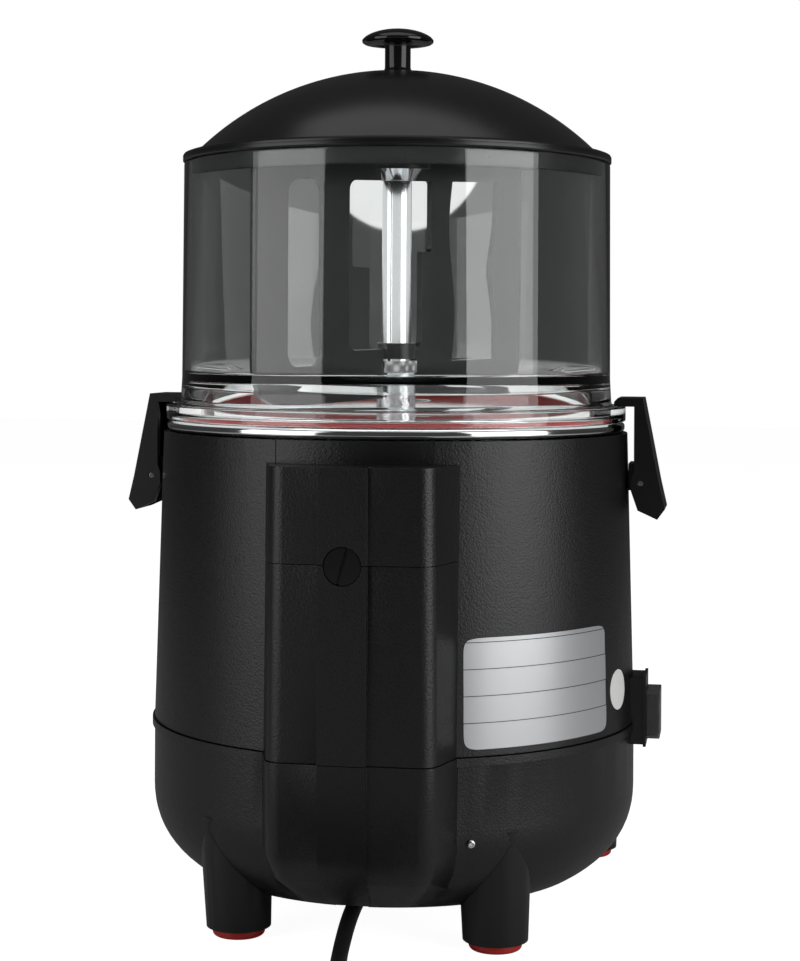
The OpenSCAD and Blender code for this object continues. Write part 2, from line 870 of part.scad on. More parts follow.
module tap_plunger() {
  seat = tap_low_z + 4.4;
  color(dark) at_tap() {
    rod(tap_bore - slide_gap, seat, seat + 8);
    rod(stem_r, seat + 8, lever_z - 11);
  }
}

module tap_spring() {
  turns = 5;
  wire_r = 0.8;
  low = tap_low_z + 4.4 + 8 + wire_r + 0.1;
  pitch = (tap_high_z - low - wire_r - 0.1) / (turns - 1);
  color(steel) at_tap() for (i = [0:turns - 1])
    translate([0, 0, low + pitch * i]) rotate_extrude($fn = 48)
      translate([5.5, 0]) circle(r = wire_r, $fn = 16);
}

module tap_lever() {
  lever_l = 58;
  color(black) at_tap() translate([0, 0, lever_z]) difference() {
    union() {
      rotate([0, 90, 0]) cylinder(r = 4, h = lever_w, center = true);
      translate([-lever_w / 2, -lever_l + 8, -2.5]) cube([lever_w, lever_l - 8, 5]);
      translate([0, -lever_l + 8, -3]) linear_extrude(6) round_rect([18, 32], 8);
    }
    rotate([0, 90, 0]) cylinder(r = lever_pin_r + run_gap, h = 40, center = true);
  }
}

module tap_lever_pin() {
  color(steel) at_tap() translate([0, 0, lever_z]) rotate([0, 90, 0])
    cylinder(r = lever_pin_r, h = 14, center = true);
}

// Rocker switch on the -X side
switch_face = body_low_r + 5.5;
rocker_pivot = switch_face - 3;
rocker_half = 10.5;
rocker_drop = 2;

module at_switch() { translate([0, 0, switch_z]) children(); }

module at_rocker() { translate([0, 0, switch_z - rocker_drop]) children(); }

module switch_housing() {
  lip = 1.5;
  wall = 3;
  color(black) difference() {
    at_switch() union() {
      translate([-switch_face, -switch_w / 2, -switch_h / 2]) cube([12, switch_w, switch_h]);
      translate([-switch_face - lip, -switch_w / 2 - 1, -switch_h / 2 - 1])
        cube([lip, switch_w + 2, switch_h + 2]);
    }
    at_rocker() {
      translate([-switch_face - 5, -switch_w / 2 + wall, -rocker_half - 1.5])
        cube([13, switch_w - 2 * wall, 2 * rocker_half + 3]);
      translate([-rocker_pivot, 0, 0]) rotate([90, 0, 0])
        cylinder(r = 1.2, h = switch_w - 2, center = true);
    }
  }
}

module switch_rocker() {
  tilt = 8;
  w = switch_w - 6 - 2 * slide_gap;
  color(dark) at_rocker() translate([-rocker_pivot, 0, 0]) {
    rotate([0, tilt, 0]) difference() {
      translate([-6, -w / 2, -rocker_half]) cube([6, w, 2 * rocker_half]);
      translate([-17, 0, 0]) rotate([90, 0, 0]) cylinder(r = 12.4, h = w + 2, center = true);
    }
    rotate([90, 0, 0]) cylinder(r = 1.2 - run_gap, h = switch_w - 3, center = true);
  }
}

module switch_cover() {
  low = switch_face + 1.5;
  reach = 7;
  wall = 1;
  half = rocker_half + 1.6;
  w = switch_w - 3;
  color(clear) at_rocker() difference() {
    translate([-low - reach, -w / 2, -half]) cube([reach, w, 2 * half]);
    translate([-low - reach + wall, -w / 2 + wall, -half + wall])
      cube([reach + 2, w - 2 * wall, 2 * half - 2 * wall]);
  }
}

// Labels lie on the body's taper
module band(low, high, start, sweep, lift, thick) {
  rotate(start) rotate_extrude(angle = sweep) polygon([
    [body_radius(low) + lift, low], [body_radius(low) + lift + thick, low],
    [body_radius(high) + lift + thick, high], [body_radius(high) + lift, high]]);
}

module rating_label() {
  low = seam_z + 3.5;
  high = low + 52.5;
  color([0.78, 0.79, 0.78]) band(low, high, 114.7, 41.5, 0.05, 0.25);
}

module round_sticker() {
  r = 10;
  z = seam_z + 21.5;
  turn = 163;
  color("white") intersection() {
    band(z - r - 1, z + r + 1, turn - 8, 16, 0.05, 0.25);
    rotate(turn) translate([90, 0, z]) rotate([0, 90, 0]) cylinder(r = r, h = 60);
  }
}

// Drip tray
tray_wall = 2.5;
grid_t = 2;

module at_tray() { translate([0, -tray_reach + tray_l / 2, tray_z]) children(); }

module drip_tray() {
  ledge = 2.5;
  color(black) at_tray() difference() {
    linear_extrude(tray_h) round_rect([tray_w, tray_l], 12);
    translate([0, 0, tray_wall]) linear_extrude(tray_h)
      round_rect([tray_w - 2 * (tray_wall + ledge), tray_l - 2 * (tray_wall + ledge)], 8);
    translate([0, 0, tray_h - grid_t - 1]) linear_extrude(tray_h)
      round_rect([tray_w - 2 * tray_wall, tray_l - 2 * tray_wall], 10);
  }
}

module drip_grid() {
  w = tray_w - 2 * tray_wall - 2 * slide_gap;
  l = tray_l - 2 * tray_wall - 2 * slide_gap;
  slot_w = 5;
  slots = 13;
  step = 13.6;
  color(steel) at_tray() translate([0, 0, tray_h - grid_t - 1 + 0.3]) linear_extrude(grid_t)
    difference() {
      round_rect([w, l], 9);
      for (i = [0:slots - 1]) for (s = [-1, 1])
        translate([(i - (slots - 1) / 2) * step, s * l / 4.2]) round_rect([slot_w, l / 2 - 12], 2.4);
    }
}

// One small screw beside the spine's foot
module cover_screws() {
  head_r = 2;
  turn = 116.5;
  color(steel) rotate(turn)
    translate([body_low_r + 0.02, 0, foot_bend_z + 3]) rotate([0, 90, 0]) cylinder(r = head_r, h = 1.2);
}

// Cord
module cord_gland() {
  collar = 7;
  sleeve_end = 76;
  color(black) difference() {
    union() {
      translate([cord_x - 9, gland_y, cord_z - 8]) cube([18, 12, plate_z - cord_z + 8 - 0.1]);
      translate([cord_x, gland_y + 11, cord_z]) rotate([-90, 0, 0])
        cylinder(r1 = collar, r2 = cord_d / 2 + 0.8, h = sleeve_end - gland_y - 11);
    }
    translate([cord_x, gland_y + 12, cord_z]) rotate([-90, 0, 0])
      cylinder(r = cord_d / 2 + 0.1, h = 60);
  }
}

function unit(v) = v / norm(v);

// A ring of points about each place on a route, square to the route there
module tube(path, radius, sides) {
  last = len(path) - 1;
  rings = [for (i = [0:last]) let (
    ahead = unit(path[min(i + 1, last)] - path[max(i - 1, 0)]),
    side = unit(cross(ahead, [0, 0, 1])),
    up = cross(side, ahead))
    [for (k = [0:sides - 1]) let (a = 360 * (k + 0.5) / sides)
      path[i] + radius * (cos(a) * side + sin(a) * up)]];
  points = [for (r = rings) for (p = r) p];
  polyhedron(points, concat(
    [[for (k = [0:sides - 1]) k]],
    [for (i = [0:last - 1]) for (k = [0:sides - 1]) let (n = (k + 1) % sides)
      [i * sides + k, (i + 1) * sides + k, (i + 1) * sides + n, i * sides + n]],
    [[for (k = [sides - 1:-1:0]) last * sides + k]]));
}

module cord_run() { color(black) tube(cord_route, cord_d / 2, 10); }

module cord_tail() { color(black) tube(tail_route, cord_d / 2, 10); }

module cord_coil() {
  low = 0.2;
  color(black) translate([coil_at[0], coil_at[1], 0]) rotate_extrude()
    translate([coil_mid_r - coil_half, low]) square([2 * coil_half, coil_top - low]);
}

module plug() {
  length = 42;
  pin_gap = 9.5;
  end = tail_route[len(tail_route) - 1];
  color(black) translate([end[0], end[1], end[2]]) rotate([0, 90, 0]) {
    cylinder(r1 = 6, r2 = 9, h = 14);
    translate([0, 0, 14]) intersection() {
      cylinder(r = 17, h = length - 14);
      translate([-8.9, -18, 0]) cube([17.8, 36, length]);
    }
  }
  color(steel) translate([end[0] + length, end[1], end[2]]) rotate([0, 90, 0])
    for (s = [-1, 1]) translate([0, s * pin_gap, -0.01]) cylinder(r = 2.4, h = 19);
}

on_axis() base_shell();
on_axis() bottom_plate();
on_axis() tray_shelf();
on_axis() front_housing();
on_axis() body_shell();
on_axis() rear_cover();
on_axis() reset_cover();
on_axis() rear_legs();
on_axis() front_legs();
on_axis() foot_pads();
on_axis() heating_pan();
on_axis() water_tank();
on_axis() bowl_gasket();
on_axis() bowl();
on_axis() centre_tube();
on_axis() tube_nut();
on_axis() shaft_bushes();
on_axis() drive_shaft();
on_axis() stirring_paddle();
on_axis() stirrer_hub();
on_axis() motor_coupling();
on_axis() gear_motor();
on_axis() motor_bracket();
on_axis() heating_element();
on_axis() thermostat();
on_axis() overheat_cutout();
on_axis() reset_button();
on_axis() reset_cap();
on_axis() terminal_block();
on_axis() lid();
on_axis() lid_knob();
on_axis() lid_screw();
on_axis() latch_bracket(1);  // latch_bracket_left
on_axis() latch_bracket(-1);  // latch_bracket_right
on_axis() latch_pin(1);  // latch_pin_left
on_axis() latch_pin(-1);  // latch_pin_right
on_axis() latch_arm(1);  // latch_arm_left
on_axis() latch_arm(-1);  // latch_arm_right
on_axis() outlet_elbow();
on_axis() tap_body();
on_axis() tap_bonnet();
on_axis() tap_plunger();
on_axis() tap_spring();
on_axis() tap_lever();
on_axis() tap_lever_pin();
on_axis() thermostat_knob();
on_axis() pilot_lamp();
on_axis() switch_housing();
on_axis() switch_rocker();
on_axis() switch_cover();
on_axis() rating_label();
on_axis() round_sticker();
on_axis() drip_tray();
on_axis() drip_grid();
on_axis() cover_screws();
on_axis() cord_gland();
on_axis() cord_run();
on_axis() cord_coil();
on_axis() cord_tail();
on_axis() plug();
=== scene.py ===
"""Surfaces and finishes of the heated bowl dispenser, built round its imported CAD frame."""

import json
import logging
import math
from dataclasses import dataclass
from enum import Enum

import bmesh
import bpy
import numpy as np
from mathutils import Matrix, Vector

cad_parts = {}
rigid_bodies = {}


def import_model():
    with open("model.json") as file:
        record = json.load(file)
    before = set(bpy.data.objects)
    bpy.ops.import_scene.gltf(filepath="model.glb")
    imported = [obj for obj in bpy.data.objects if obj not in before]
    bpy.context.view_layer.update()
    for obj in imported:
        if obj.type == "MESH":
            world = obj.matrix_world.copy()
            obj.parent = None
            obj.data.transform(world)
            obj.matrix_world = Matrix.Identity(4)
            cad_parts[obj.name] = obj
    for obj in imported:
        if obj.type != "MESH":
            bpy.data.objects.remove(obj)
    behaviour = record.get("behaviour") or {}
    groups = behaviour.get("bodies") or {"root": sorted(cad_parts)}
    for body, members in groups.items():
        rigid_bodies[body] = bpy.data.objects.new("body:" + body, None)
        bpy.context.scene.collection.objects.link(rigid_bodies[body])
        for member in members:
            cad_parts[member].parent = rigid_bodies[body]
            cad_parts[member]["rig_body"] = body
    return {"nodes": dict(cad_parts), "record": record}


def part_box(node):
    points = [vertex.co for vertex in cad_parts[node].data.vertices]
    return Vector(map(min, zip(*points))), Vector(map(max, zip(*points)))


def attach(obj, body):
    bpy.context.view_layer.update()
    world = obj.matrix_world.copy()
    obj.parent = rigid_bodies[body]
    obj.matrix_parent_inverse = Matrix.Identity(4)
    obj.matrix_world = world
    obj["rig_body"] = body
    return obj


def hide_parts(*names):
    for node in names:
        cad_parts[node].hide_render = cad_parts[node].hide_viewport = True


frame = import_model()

LOG = logging.getLogger("dispenser")
MM = 0.001
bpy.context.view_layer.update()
BOWL_LOW, BOWL_HIGH = (np.array(corner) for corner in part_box("bowl"))
AXIS_Y = float((BOWL_LOW[1] + BOWL_HIGH[1]) / 2)
SLOT_OF = {row["node"]: row["material_slot"] for row in frame["record"]["subparts"]}
ROOT = "root"


class Grain(Enum):
    """How the surface of a finish is broken up."""

    LEATHER = "fine moulded leather grain"
    SATIN = "lightly blasted plastic"
    SMOOTH = "polished moulding"
    BRUSHED = "straight brush lines"
    TURNED = "fine lines round a turned part"
    KNURLED = "diamond knurling"
    RUBBER = "matt elastomer"
    CLEAR = "transparent moulding"
    RULED = "ruled foil label"


@dataclass(frozen=True)
class Finish:
    """One finish of the machine.

    Attributes:
        name: plain name of the material
        colour: linear base colour
        roughness: mean roughness
        grain: kind of surface break-up
        size: width of one grain in metres
        depth: height of the grain in metres
        strength: how strongly the grain turns the normal
        metallic: 1 for bare metal
        transmission: share of light let through
        ior: index of refraction
        spread: relative change of colour and roughness over the surface
    """

    name: str
    colour: tuple[float, float, float]
    roughness: float
    grain: Grain = Grain.SATIN
    size: float = 0.8 * MM
    depth: float = 0.05 * MM
    strength: float = 0.3
    metallic: float = 0.0
    transmission: float = 0.0
    ior: float = 1.5
    spread: float = 0.12

    def material(self) -> bpy.types.Material:
        """Make the node material, once.

        Returns:
            The material of this finish.
        """
        made = bpy.data.materials.get(self.name)
        if made is not None:
            return made
        made = bpy.data.materials.new(self.name)
        made.use_nodes = True
        tree = made.node_tree
        shader = tree.nodes["Principled BSDF"]
        shader.inputs["Metallic"].default_value = self.metallic
        shader.inputs["IOR"].default_value = self.ior
        shader.inputs["Transmission Weight"].default_value = self.transmission
        where = tree.nodes.new("ShaderNodeTexCoord").outputs["Object"]
        self._shade(tree, shader, where)
        self._relief(tree, shader, where)
        return made

    def _shade(
        self,
        tree: bpy.types.NodeTree,
        shader: bpy.types.Node,
        where: bpy.types.NodeSocket,
    ) -> None:
        """Slow patches vary the colour and a finer noise varies the roughness.

        Args:
            tree: node tree of the material
            shader: its Principled node
            where: coordinates that the patterns read
        """
        patches = noise(tree, where, 30.0, 3.0)
        mix = tree.nodes.new("ShaderNodeMix")
        mix.data_type = "RGBA"
        mix.inputs["A"].default_value = (*[c * (1 - self.spread) for c in self.colour], 1)
        mix.inputs["B"].default_value = (
            *[min(c * (1 + self.spread), 1) for c in self.colour],
            1,
        )
        tree.links.new(patches, mix.inputs["Factor"])
        colour = mix.outputs["Result"]
        if self.grain is Grain.RULED:
            colour = ruled(tree, colour)
        tree.links.new(colour, shader.inputs["Base Color"])
        wear = noise(tree, where, 140.0, 5.0)
        rough = tree.nodes.new("ShaderNodeMapRange")
        rough.inputs["To Min"].default_value = self.roughness * (1 - self.spread)
        rough.inputs["To Max"].default_value = min(self.roughness * (1 + self.spread), 1)
        tree.links.new(wear, rough.inputs["Value"])
        tree.links.new(rough.outputs["Result"], shader.inputs["Roughness"])

    def _relief(
        self,
        tree: bpy.types.NodeTree,
        shader: bpy.types.Node,
        where: bpy.types.NodeSocket,
    ) -> None:
        """The grain's height field drives a bump.

        Args:
            tree: node tree of the material
            shader: its Principled node
            where: coordinates that the patterns read
        """
        height = self._height(tree, where)
        bump = tree.nodes.new("ShaderNodeBump")
        bump.inputs["Strength"].default_value = self.strength
        bump.inputs["Distance"].default_value = self.depth
        tree.links.new(height, bump.inputs["Height"])
        tree.links.new(bump.outputs["Normal"], shader.inputs["Normal"])

    def _height(
        self, tree: bpy.types.NodeTree, where: bpy.types.NodeSocket
    ) -> bpy.types.NodeSocket:
        """Height field of the grain.

        Args:
            tree: node tree of the material
            where: coordinates that the patterns read

        Returns:
            The socket that carries the height.
        """
        scale = 1 / self.size
        if self.grain is Grain.LEATHER:
            return cells(tree, where, scale)
        if self.grain is Grain.BRUSHED:
            return noise(tree, stretched(tree, where, (0.03, 1.0, 1.0)), scale, 2.0)
        if self.grain is Grain.TURNED:
            return noise(tree, stretched(tree, where, (0.03, 0.03, 1.0)), scale, 2.0)
        if self.grain is Grain.KNURLED:
            return knurl(tree, where, scale)
        return noise(tree, where, scale, 3.0)


def noise(
    tree: bpy.types.NodeTree, where: bpy.types.NodeSocket, scale: float, detail: float
) -> bpy.types.NodeSocket:
    """A fractal noise.

    Args:
        tree: node tree
        where: coordinates
        scale: cells per metre
        detail: octaves

    Returns:
        Its value socket.
    """
    node = tree.nodes.new("ShaderNodeTexNoise")
    node.inputs["Scale"].default_value = scale
    node.inputs["Detail"].default_value = detail
    tree.links.new(where, node.inputs["Vector"])
    return node.outputs["Fac"]


def cells(
    tree: bpy.types.NodeTree, where: bpy.types.NodeSocket, scale: float
) -> bpy.types.NodeSocket:
    """Rounded pebbles parted by narrow creases, as moulded leather grain has.

    Args:
        tree: node tree
        where: coordinates
        scale: pebbles per metre

    Returns:
        Height socket, high in the middle of each pebble.
    """
    pebbles = tree.nodes.new("ShaderNodeTexVoronoi")
    pebbles.feature = "SMOOTH_F1"
    pebbles.inputs["Scale"].default_value = scale
    pebbles.inputs["Smoothness"].default_value = 0.35
    tree.links.new(where, pebbles.inputs["Vector"])
    fine = noise(tree, where, scale * 2.2, 3.0)
    blend = tree.nodes.new("ShaderNodeMath")
    blend.operation = "SUBTRACT"
    tree.links.new(fine, blend.inputs[0])
    tree.links.new(pebbles.outputs["Distance"], blend.inputs[1])
    return blend.outputs["Value"]


def stretched(
    tree: bpy.types.NodeTree,
    where: bpy.types.NodeSocket,
    scale: tuple[float, float, float],
) -> bpy.types.NodeSocket:
    """Coordinates scaled unevenly, so that a noise turns into lines.

    Args:
        tree: node tree
        where: coordinates
        scale: factor on each axis

    Returns:
        The scaled coordinates.
    """
    node = tree.nodes.new("ShaderNodeMapping")
    node.inputs["Scale"].default_value = scale
    tree.links.new(where, node.inputs["Vector"])
    return node.outputs["Vector"]


def knurl(
    tree: bpy.types.NodeTree, where: bpy.types.NodeSocket, scale: float
) -> bpy.types.NodeSocket:
    """Two sets of slanting ridges, added.

    Args:
        tree: node tree
        where: coordinates
        scale: ridges per metre

    Returns:
        Height socket.
    """
    total = tree.nodes.new("ShaderNodeMath")
    total.operation = "ADD"
    for index, slant in enumerate((1, -1)):
        wave = tree.nodes.new("ShaderNodeTexWave")
        wave.bands_direction = "DIAGONAL"
        wave.inputs["Scale"].default_value = scale / 10
        turned = stretched(tree, where, (slant, slant, 1.0))
        tree.links.new(turned, wave.inputs["Vector"])
        tree.links.new(wave.outputs["Fac"], total.inputs[index])
    return total.outputs["Value"]


def ruled(
    tree: bpy.types.NodeTree, ground: bpy.types.NodeSocket
) -> bpy.types.NodeSocket:
    """Thin dark rules that part a label into empty boxes; no words.

    Args:
        tree: node tree
        ground: colour of the foil

    Returns:
        The colour with rules on it.
    """
    plan = tree.nodes.new("ShaderNodeUVMap")
    plan.uv_map = "label"
    boxes = tree.nodes.new("ShaderNodeTexBrick")
    boxes.inputs["Scale"].default_value = 1.0
    boxes.inputs["Mortar Size"].default_value = 0.004
    boxes.inputs["Mortar Smooth"].default_value = 0.1
    boxes.inputs["Brick Width"].default_value = 4.0
    boxes.inputs["Row Height"].default_value = 0.24
    boxes.inputs["Mortar"].default_value = (0.06, 0.06, 0.065, 1)
    tree.links.new(plan.outputs["UV"], boxes.inputs["Vector"])
    tree.links.new(ground, boxes.inputs["Color1"])
    tree.links.new(ground, boxes.inputs["Color2"])
    return boxes.outputs["Color"]


BLACK = (0.0045, 0.0045, 0.005)
FINISHES = {
    "textured_black": Finish(
        "grained_black_plastic", BLACK, 0.33, Grain.LEATHER, 1.1 * MM, 0.14 * MM, 0.6
    ),
    "satin_black": Finish(
        "satin_black_plastic", BLACK, 0.3, Grain.SATIN, 0.5 * MM, 0.03 * MM, 0.14
    ),
    "gloss_black": Finish(
        "gloss_black_plastic", (0.006, 0.006, 0.007), 0.12, Grain.SMOOTH, 2 * MM, 0.02 * MM, 0.05
    ),
    "dark_plastic": Finish(
        "smoke_grey_plastic", (0.03, 0.032, 0.034), 0.28, Grain.SATIN, 0.6 * MM, 0.03 * MM, 0.15
    ),
    "clear_bowl": Finish(
        "clear_moulding",
        (0.95, 0.965, 0.96),
        0.012,
        Grain.CLEAR,
        12 * MM,
        0.02 * MM,
        0.04,
        transmission=1.0,
        spread=0.02,
    ),
    "polished_steel": Finish(
        "polished_steel",
        (0.74, 0.745, 0.75),
        0.1,
        Grain.TURNED,
        0.35 * MM,
        0.01 * MM,
        0.06,
        metallic=1.0,
    ),
    "brushed_steel": Finish(
        "brushed_steel",
        (0.6, 0.61, 0.62),
        0.28,
        Grain.BRUSHED,
        0.3 * MM,
        0.02 * MM,
        0.2,
        metallic=1.0,
    ),
    "red_rubber": Finish(
        "red_silicone", (0.5, 0.02, 0.015), 0.4, Grain.RUBBER, 0.4 * MM, 0.03 * MM, 0.15
    ),
    "cord_rubber": Finish(
        "black_cord_rubber", (0.014, 0.014, 0.015), 0.42, Grain.RUBBER, 0.5 * MM, 0.04 * MM, 0.2
    ),
    "smoke_cover": Finish(
        "smoke_cover", (0.16, 0.16, 0.165), 0.2, Grain.CLEAR, 8 * MM, 0.02 * MM, 0.05, transmission=0.8
    ),
    "bronze": Finish(
        "sintered_bronze", (0.5, 0.3, 0.12), 0.42, Grain.SATIN, 0.25 * MM, 0.02 * MM, 0.3, metallic=1.0
    ),
    "cream_plastic": Finish(
        "cream_plastic", (0.74, 0.7, 0.58), 0.4, Grain.SATIN, 0.6 * MM, 0.03 * MM, 0.15
    ),
    "amber_lens": Finish(
        "amber_lens", (0.85, 0.28, 0.02), 0.12, Grain.CLEAR, 1 * MM, 0.05 * MM, 0.1, transmission=0.5
    ),
    "silver_label": Finish(
        "silver_foil_label",
        (0.56, 0.57, 0.58),
        0.34,
        Grain.RULED,
        0.5 * MM,
        0.01 * MM,
        0.1,
        metallic=0.6,
        spread=0.05,
    ),
    "white_label": Finish(
        "white_paper_label", (0.82, 0.82, 0.8), 0.5, Grain.SATIN, 0.3 * MM, 0.01 * MM, 0.1
    ),
}
LID_BLACK = Finish(
    "lid_black_plastic", (0.01, 0.01, 0.011), 0.26, Grain.SATIN, 0.7 * MM, 0.02 * MM, 0.1
)
KNURLED_STEEL = Finish(
    "knurled_steel",
    (0.6, 0.6, 0.61),
    0.22,
    Grain.KNURLED,
    1.2 * MM,
    0.2 * MM,
    0.5,
    metallic=1.0,
)


def volume(points: np.ndarray, faces: np.ndarray) -> float:
    """Signed volume of a closed surface of four-sided faces: a third of the sum of its cones.

    Args:
        points: n x 3 places
        faces: m x 4 indices

    Returns:
        The volume, positive where the faces look outwards.
    """
    a, b, c, d = (points[faces[:, k]] for k in range(4))
    cones = np.einsum("ij,ij->i", a, np.cross(b, c))
    cones += np.einsum("ij,ij->i", a, np.cross(c, d))
    return float(cones.sum() / 6)


def surface(
    name: str, points: np.ndarray, faces: np.ndarray, sharp: float = 35.0
) -> bpy.types.Object:
    """Put a closed grid surface into a mesh, turned outwards, with its poles merged.

    Args:
        name: name of the piece
        points: n x 3 places in metres in the row frame
        faces: m x 4 indices
        sharp: angle in degrees past which an edge is sharp

    Returns:
        The linked object at the origin.
    """
    if volume(points - points.mean(0), faces) < 0:
        faces = faces[:, ::-1]
    mesh = bpy.data.meshes.new(name)
    mesh.from_pydata(points.tolist(), [], faces.tolist())
    work = bmesh.new()
    work.from_mesh(mesh)
    bmesh.ops.remove_doubles(work, verts=work.verts, dist=1e-6)
    work.to_mesh(mesh)
    work.free()
    return placed(name, mesh, sharp)


def placed(name: str, mesh: bpy.types.Mesh, sharp: float) -> bpy.types.Object:
    """Link a mesh as an object at the origin, smooth except at its sharp edges.

    Args:
        name: name of the piece
        mesh: its mesh
        sharp: angle in degrees past which an edge is sharp

    Returns:
        The object.
    """
    mesh.validate()
    mesh.shade_smooth()
    mesh.set_sharp_from_angle(angle=math.radians(sharp))
    piece = bpy.data.objects.new(name, mesh)
    bpy.context.scene.collection.objects.link(piece)
    return piece


def wrap(rows: int, columns: int) -> np.ndarray:
    """Faces of a grid that closes on itself both ways, as a torus does.

    Args:
        rows: points round the section
        columns: sections

    Returns:
        m x 4 indices.
    """
    i, j = np.meshgrid(np.arange(rows), np.arange(columns), indexing="ij")
    i2, j2 = (i + 1) % rows, (j + 1) % columns
    corners = [i * columns + j, i2 * columns + j, i2 * columns + j2, i * columns + j2]
    return np.stack(corners, -1).reshape(-1, 4)


def fillet(points: list[tuple[float, float]], radius: float, steps: int = 4) -> np.ndarray:
    """Round every corner of a closed outline by a parabola that starts a radius from it.

    Args:
        points: corners of the outline
        radius: distance along each side where the rounding starts
        steps: pieces in each rounding

    Returns:
        The rounded outline, n x 2.
    """
    corner = np.array(points, float)
    before, after = np.roll(corner, 1, 0), np.roll(corner, -1, 0)

    def toward(other: np.ndarray) -> np.ndarray:
        """A point up to a radius from each corner, and no more than 45% of the side."""
        side = other - corner
        length = np.linalg.norm(side, axis=1, keepdims=True)
        return corner + side * np.minimum(radius / np.maximum(length, 1e-9), 0.45)

    t = np.linspace(0, 1, steps + 1)[None, :, None]
    a, b, c = (x[:, None, :] for x in (toward(before), corner, toward(after)))
    return ((1 - t) ** 2 * a + 2 * t * (1 - t) * b + t**2 * c).reshape(-1, 2)


def turned(name: str, outline: np.ndarray, turns: int) -> bpy.types.Object:
    """A closed outline of radius and height carried round the bowl's axis.

    Args:
        name: name of the piece
        outline: n x 2 radius and height in metres
        turns: sections round the axis

    Returns:
        The object.
    """
    angle = np.linspace(0, 2 * np.pi, turns, endpoint=False)
    radius, height = outline[:, :1], outline[:, 1:]
    x = radius * np.cos(angle)
    y = AXIS_Y + radius * np.sin(angle)
    z = np.broadcast_to(height, x.shape)
    points = np.stack([x, y, z], -1).reshape(-1, 3)
    return surface(name, points, wrap(len(outline), turns))


def dress(
    piece: bpy.types.Object, finish: Finish, node: str, *others: str
) -> bpy.types.Object:
    """Give a piece its finish, and let it stand for CAD nodes and ride with the first one.

    Args:
        piece: the new piece
        finish: its finish
        node: the CAD node whose body it rides
        others: further CAD nodes that it replaces

    Returns:
        The same piece.
    """
    piece.data.materials.clear()
    piece.data.materials.append(finish.material())
    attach(piece, frame["nodes"][node]["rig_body"])
    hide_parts(node, *others)
    LOG.info("%s stands for %s", piece.name, ", ".join([node, *others]))
    return piece


def softened(
    node: str, width: float = 0.5 * MM, finish: Finish | None = None, segments: int = 2
) -> bpy.types.Object:
    """A CAD node's own shape with its loose triangles merged and its edges eased.

    Args:
        node: CAD node
        width: width of the eased edge in metres
        finish: finish, or None for its slot's
        segments: faces across an edge

    Returns:
        The dressed piece.
    """
    work = bmesh.new()
    work.from_mesh(frame["nodes"][node].data)
    bmesh.ops.remove_doubles(work, verts=work.verts, dist=2e-6)
    bmesh.ops.dissolve_limit(
        work, angle_limit=math.radians(0.4), verts=work.verts, edges=work.edges
    )
    mesh = bpy.data.meshes.new(f"{node}_moulding")
    work.to_mesh(mesh)
    work.free()
    piece = placed(f"{node}_moulding", mesh, 30.0)
    edge = piece.modifiers.new("eased_edges", "BEVEL")
    edge.width = width
    edge.segments = segments
    edge.limit_method = "ANGLE"
    edge.angle_limit = math.radians(32)
    edge.use_clamp_overlap = True
    edge.harden_normals = True
    return dress(piece, finish or FINISHES[SLOT_OF[node]], node)


def on_axis(point: tuple[float, float, float]) -> tuple[float, float, float]:
    """A point in millimetres about the bowl's axis, in metres in the row frame."""
    return (point[0] * MM, point[1] * MM + AXIS_Y, point[2] * MM)


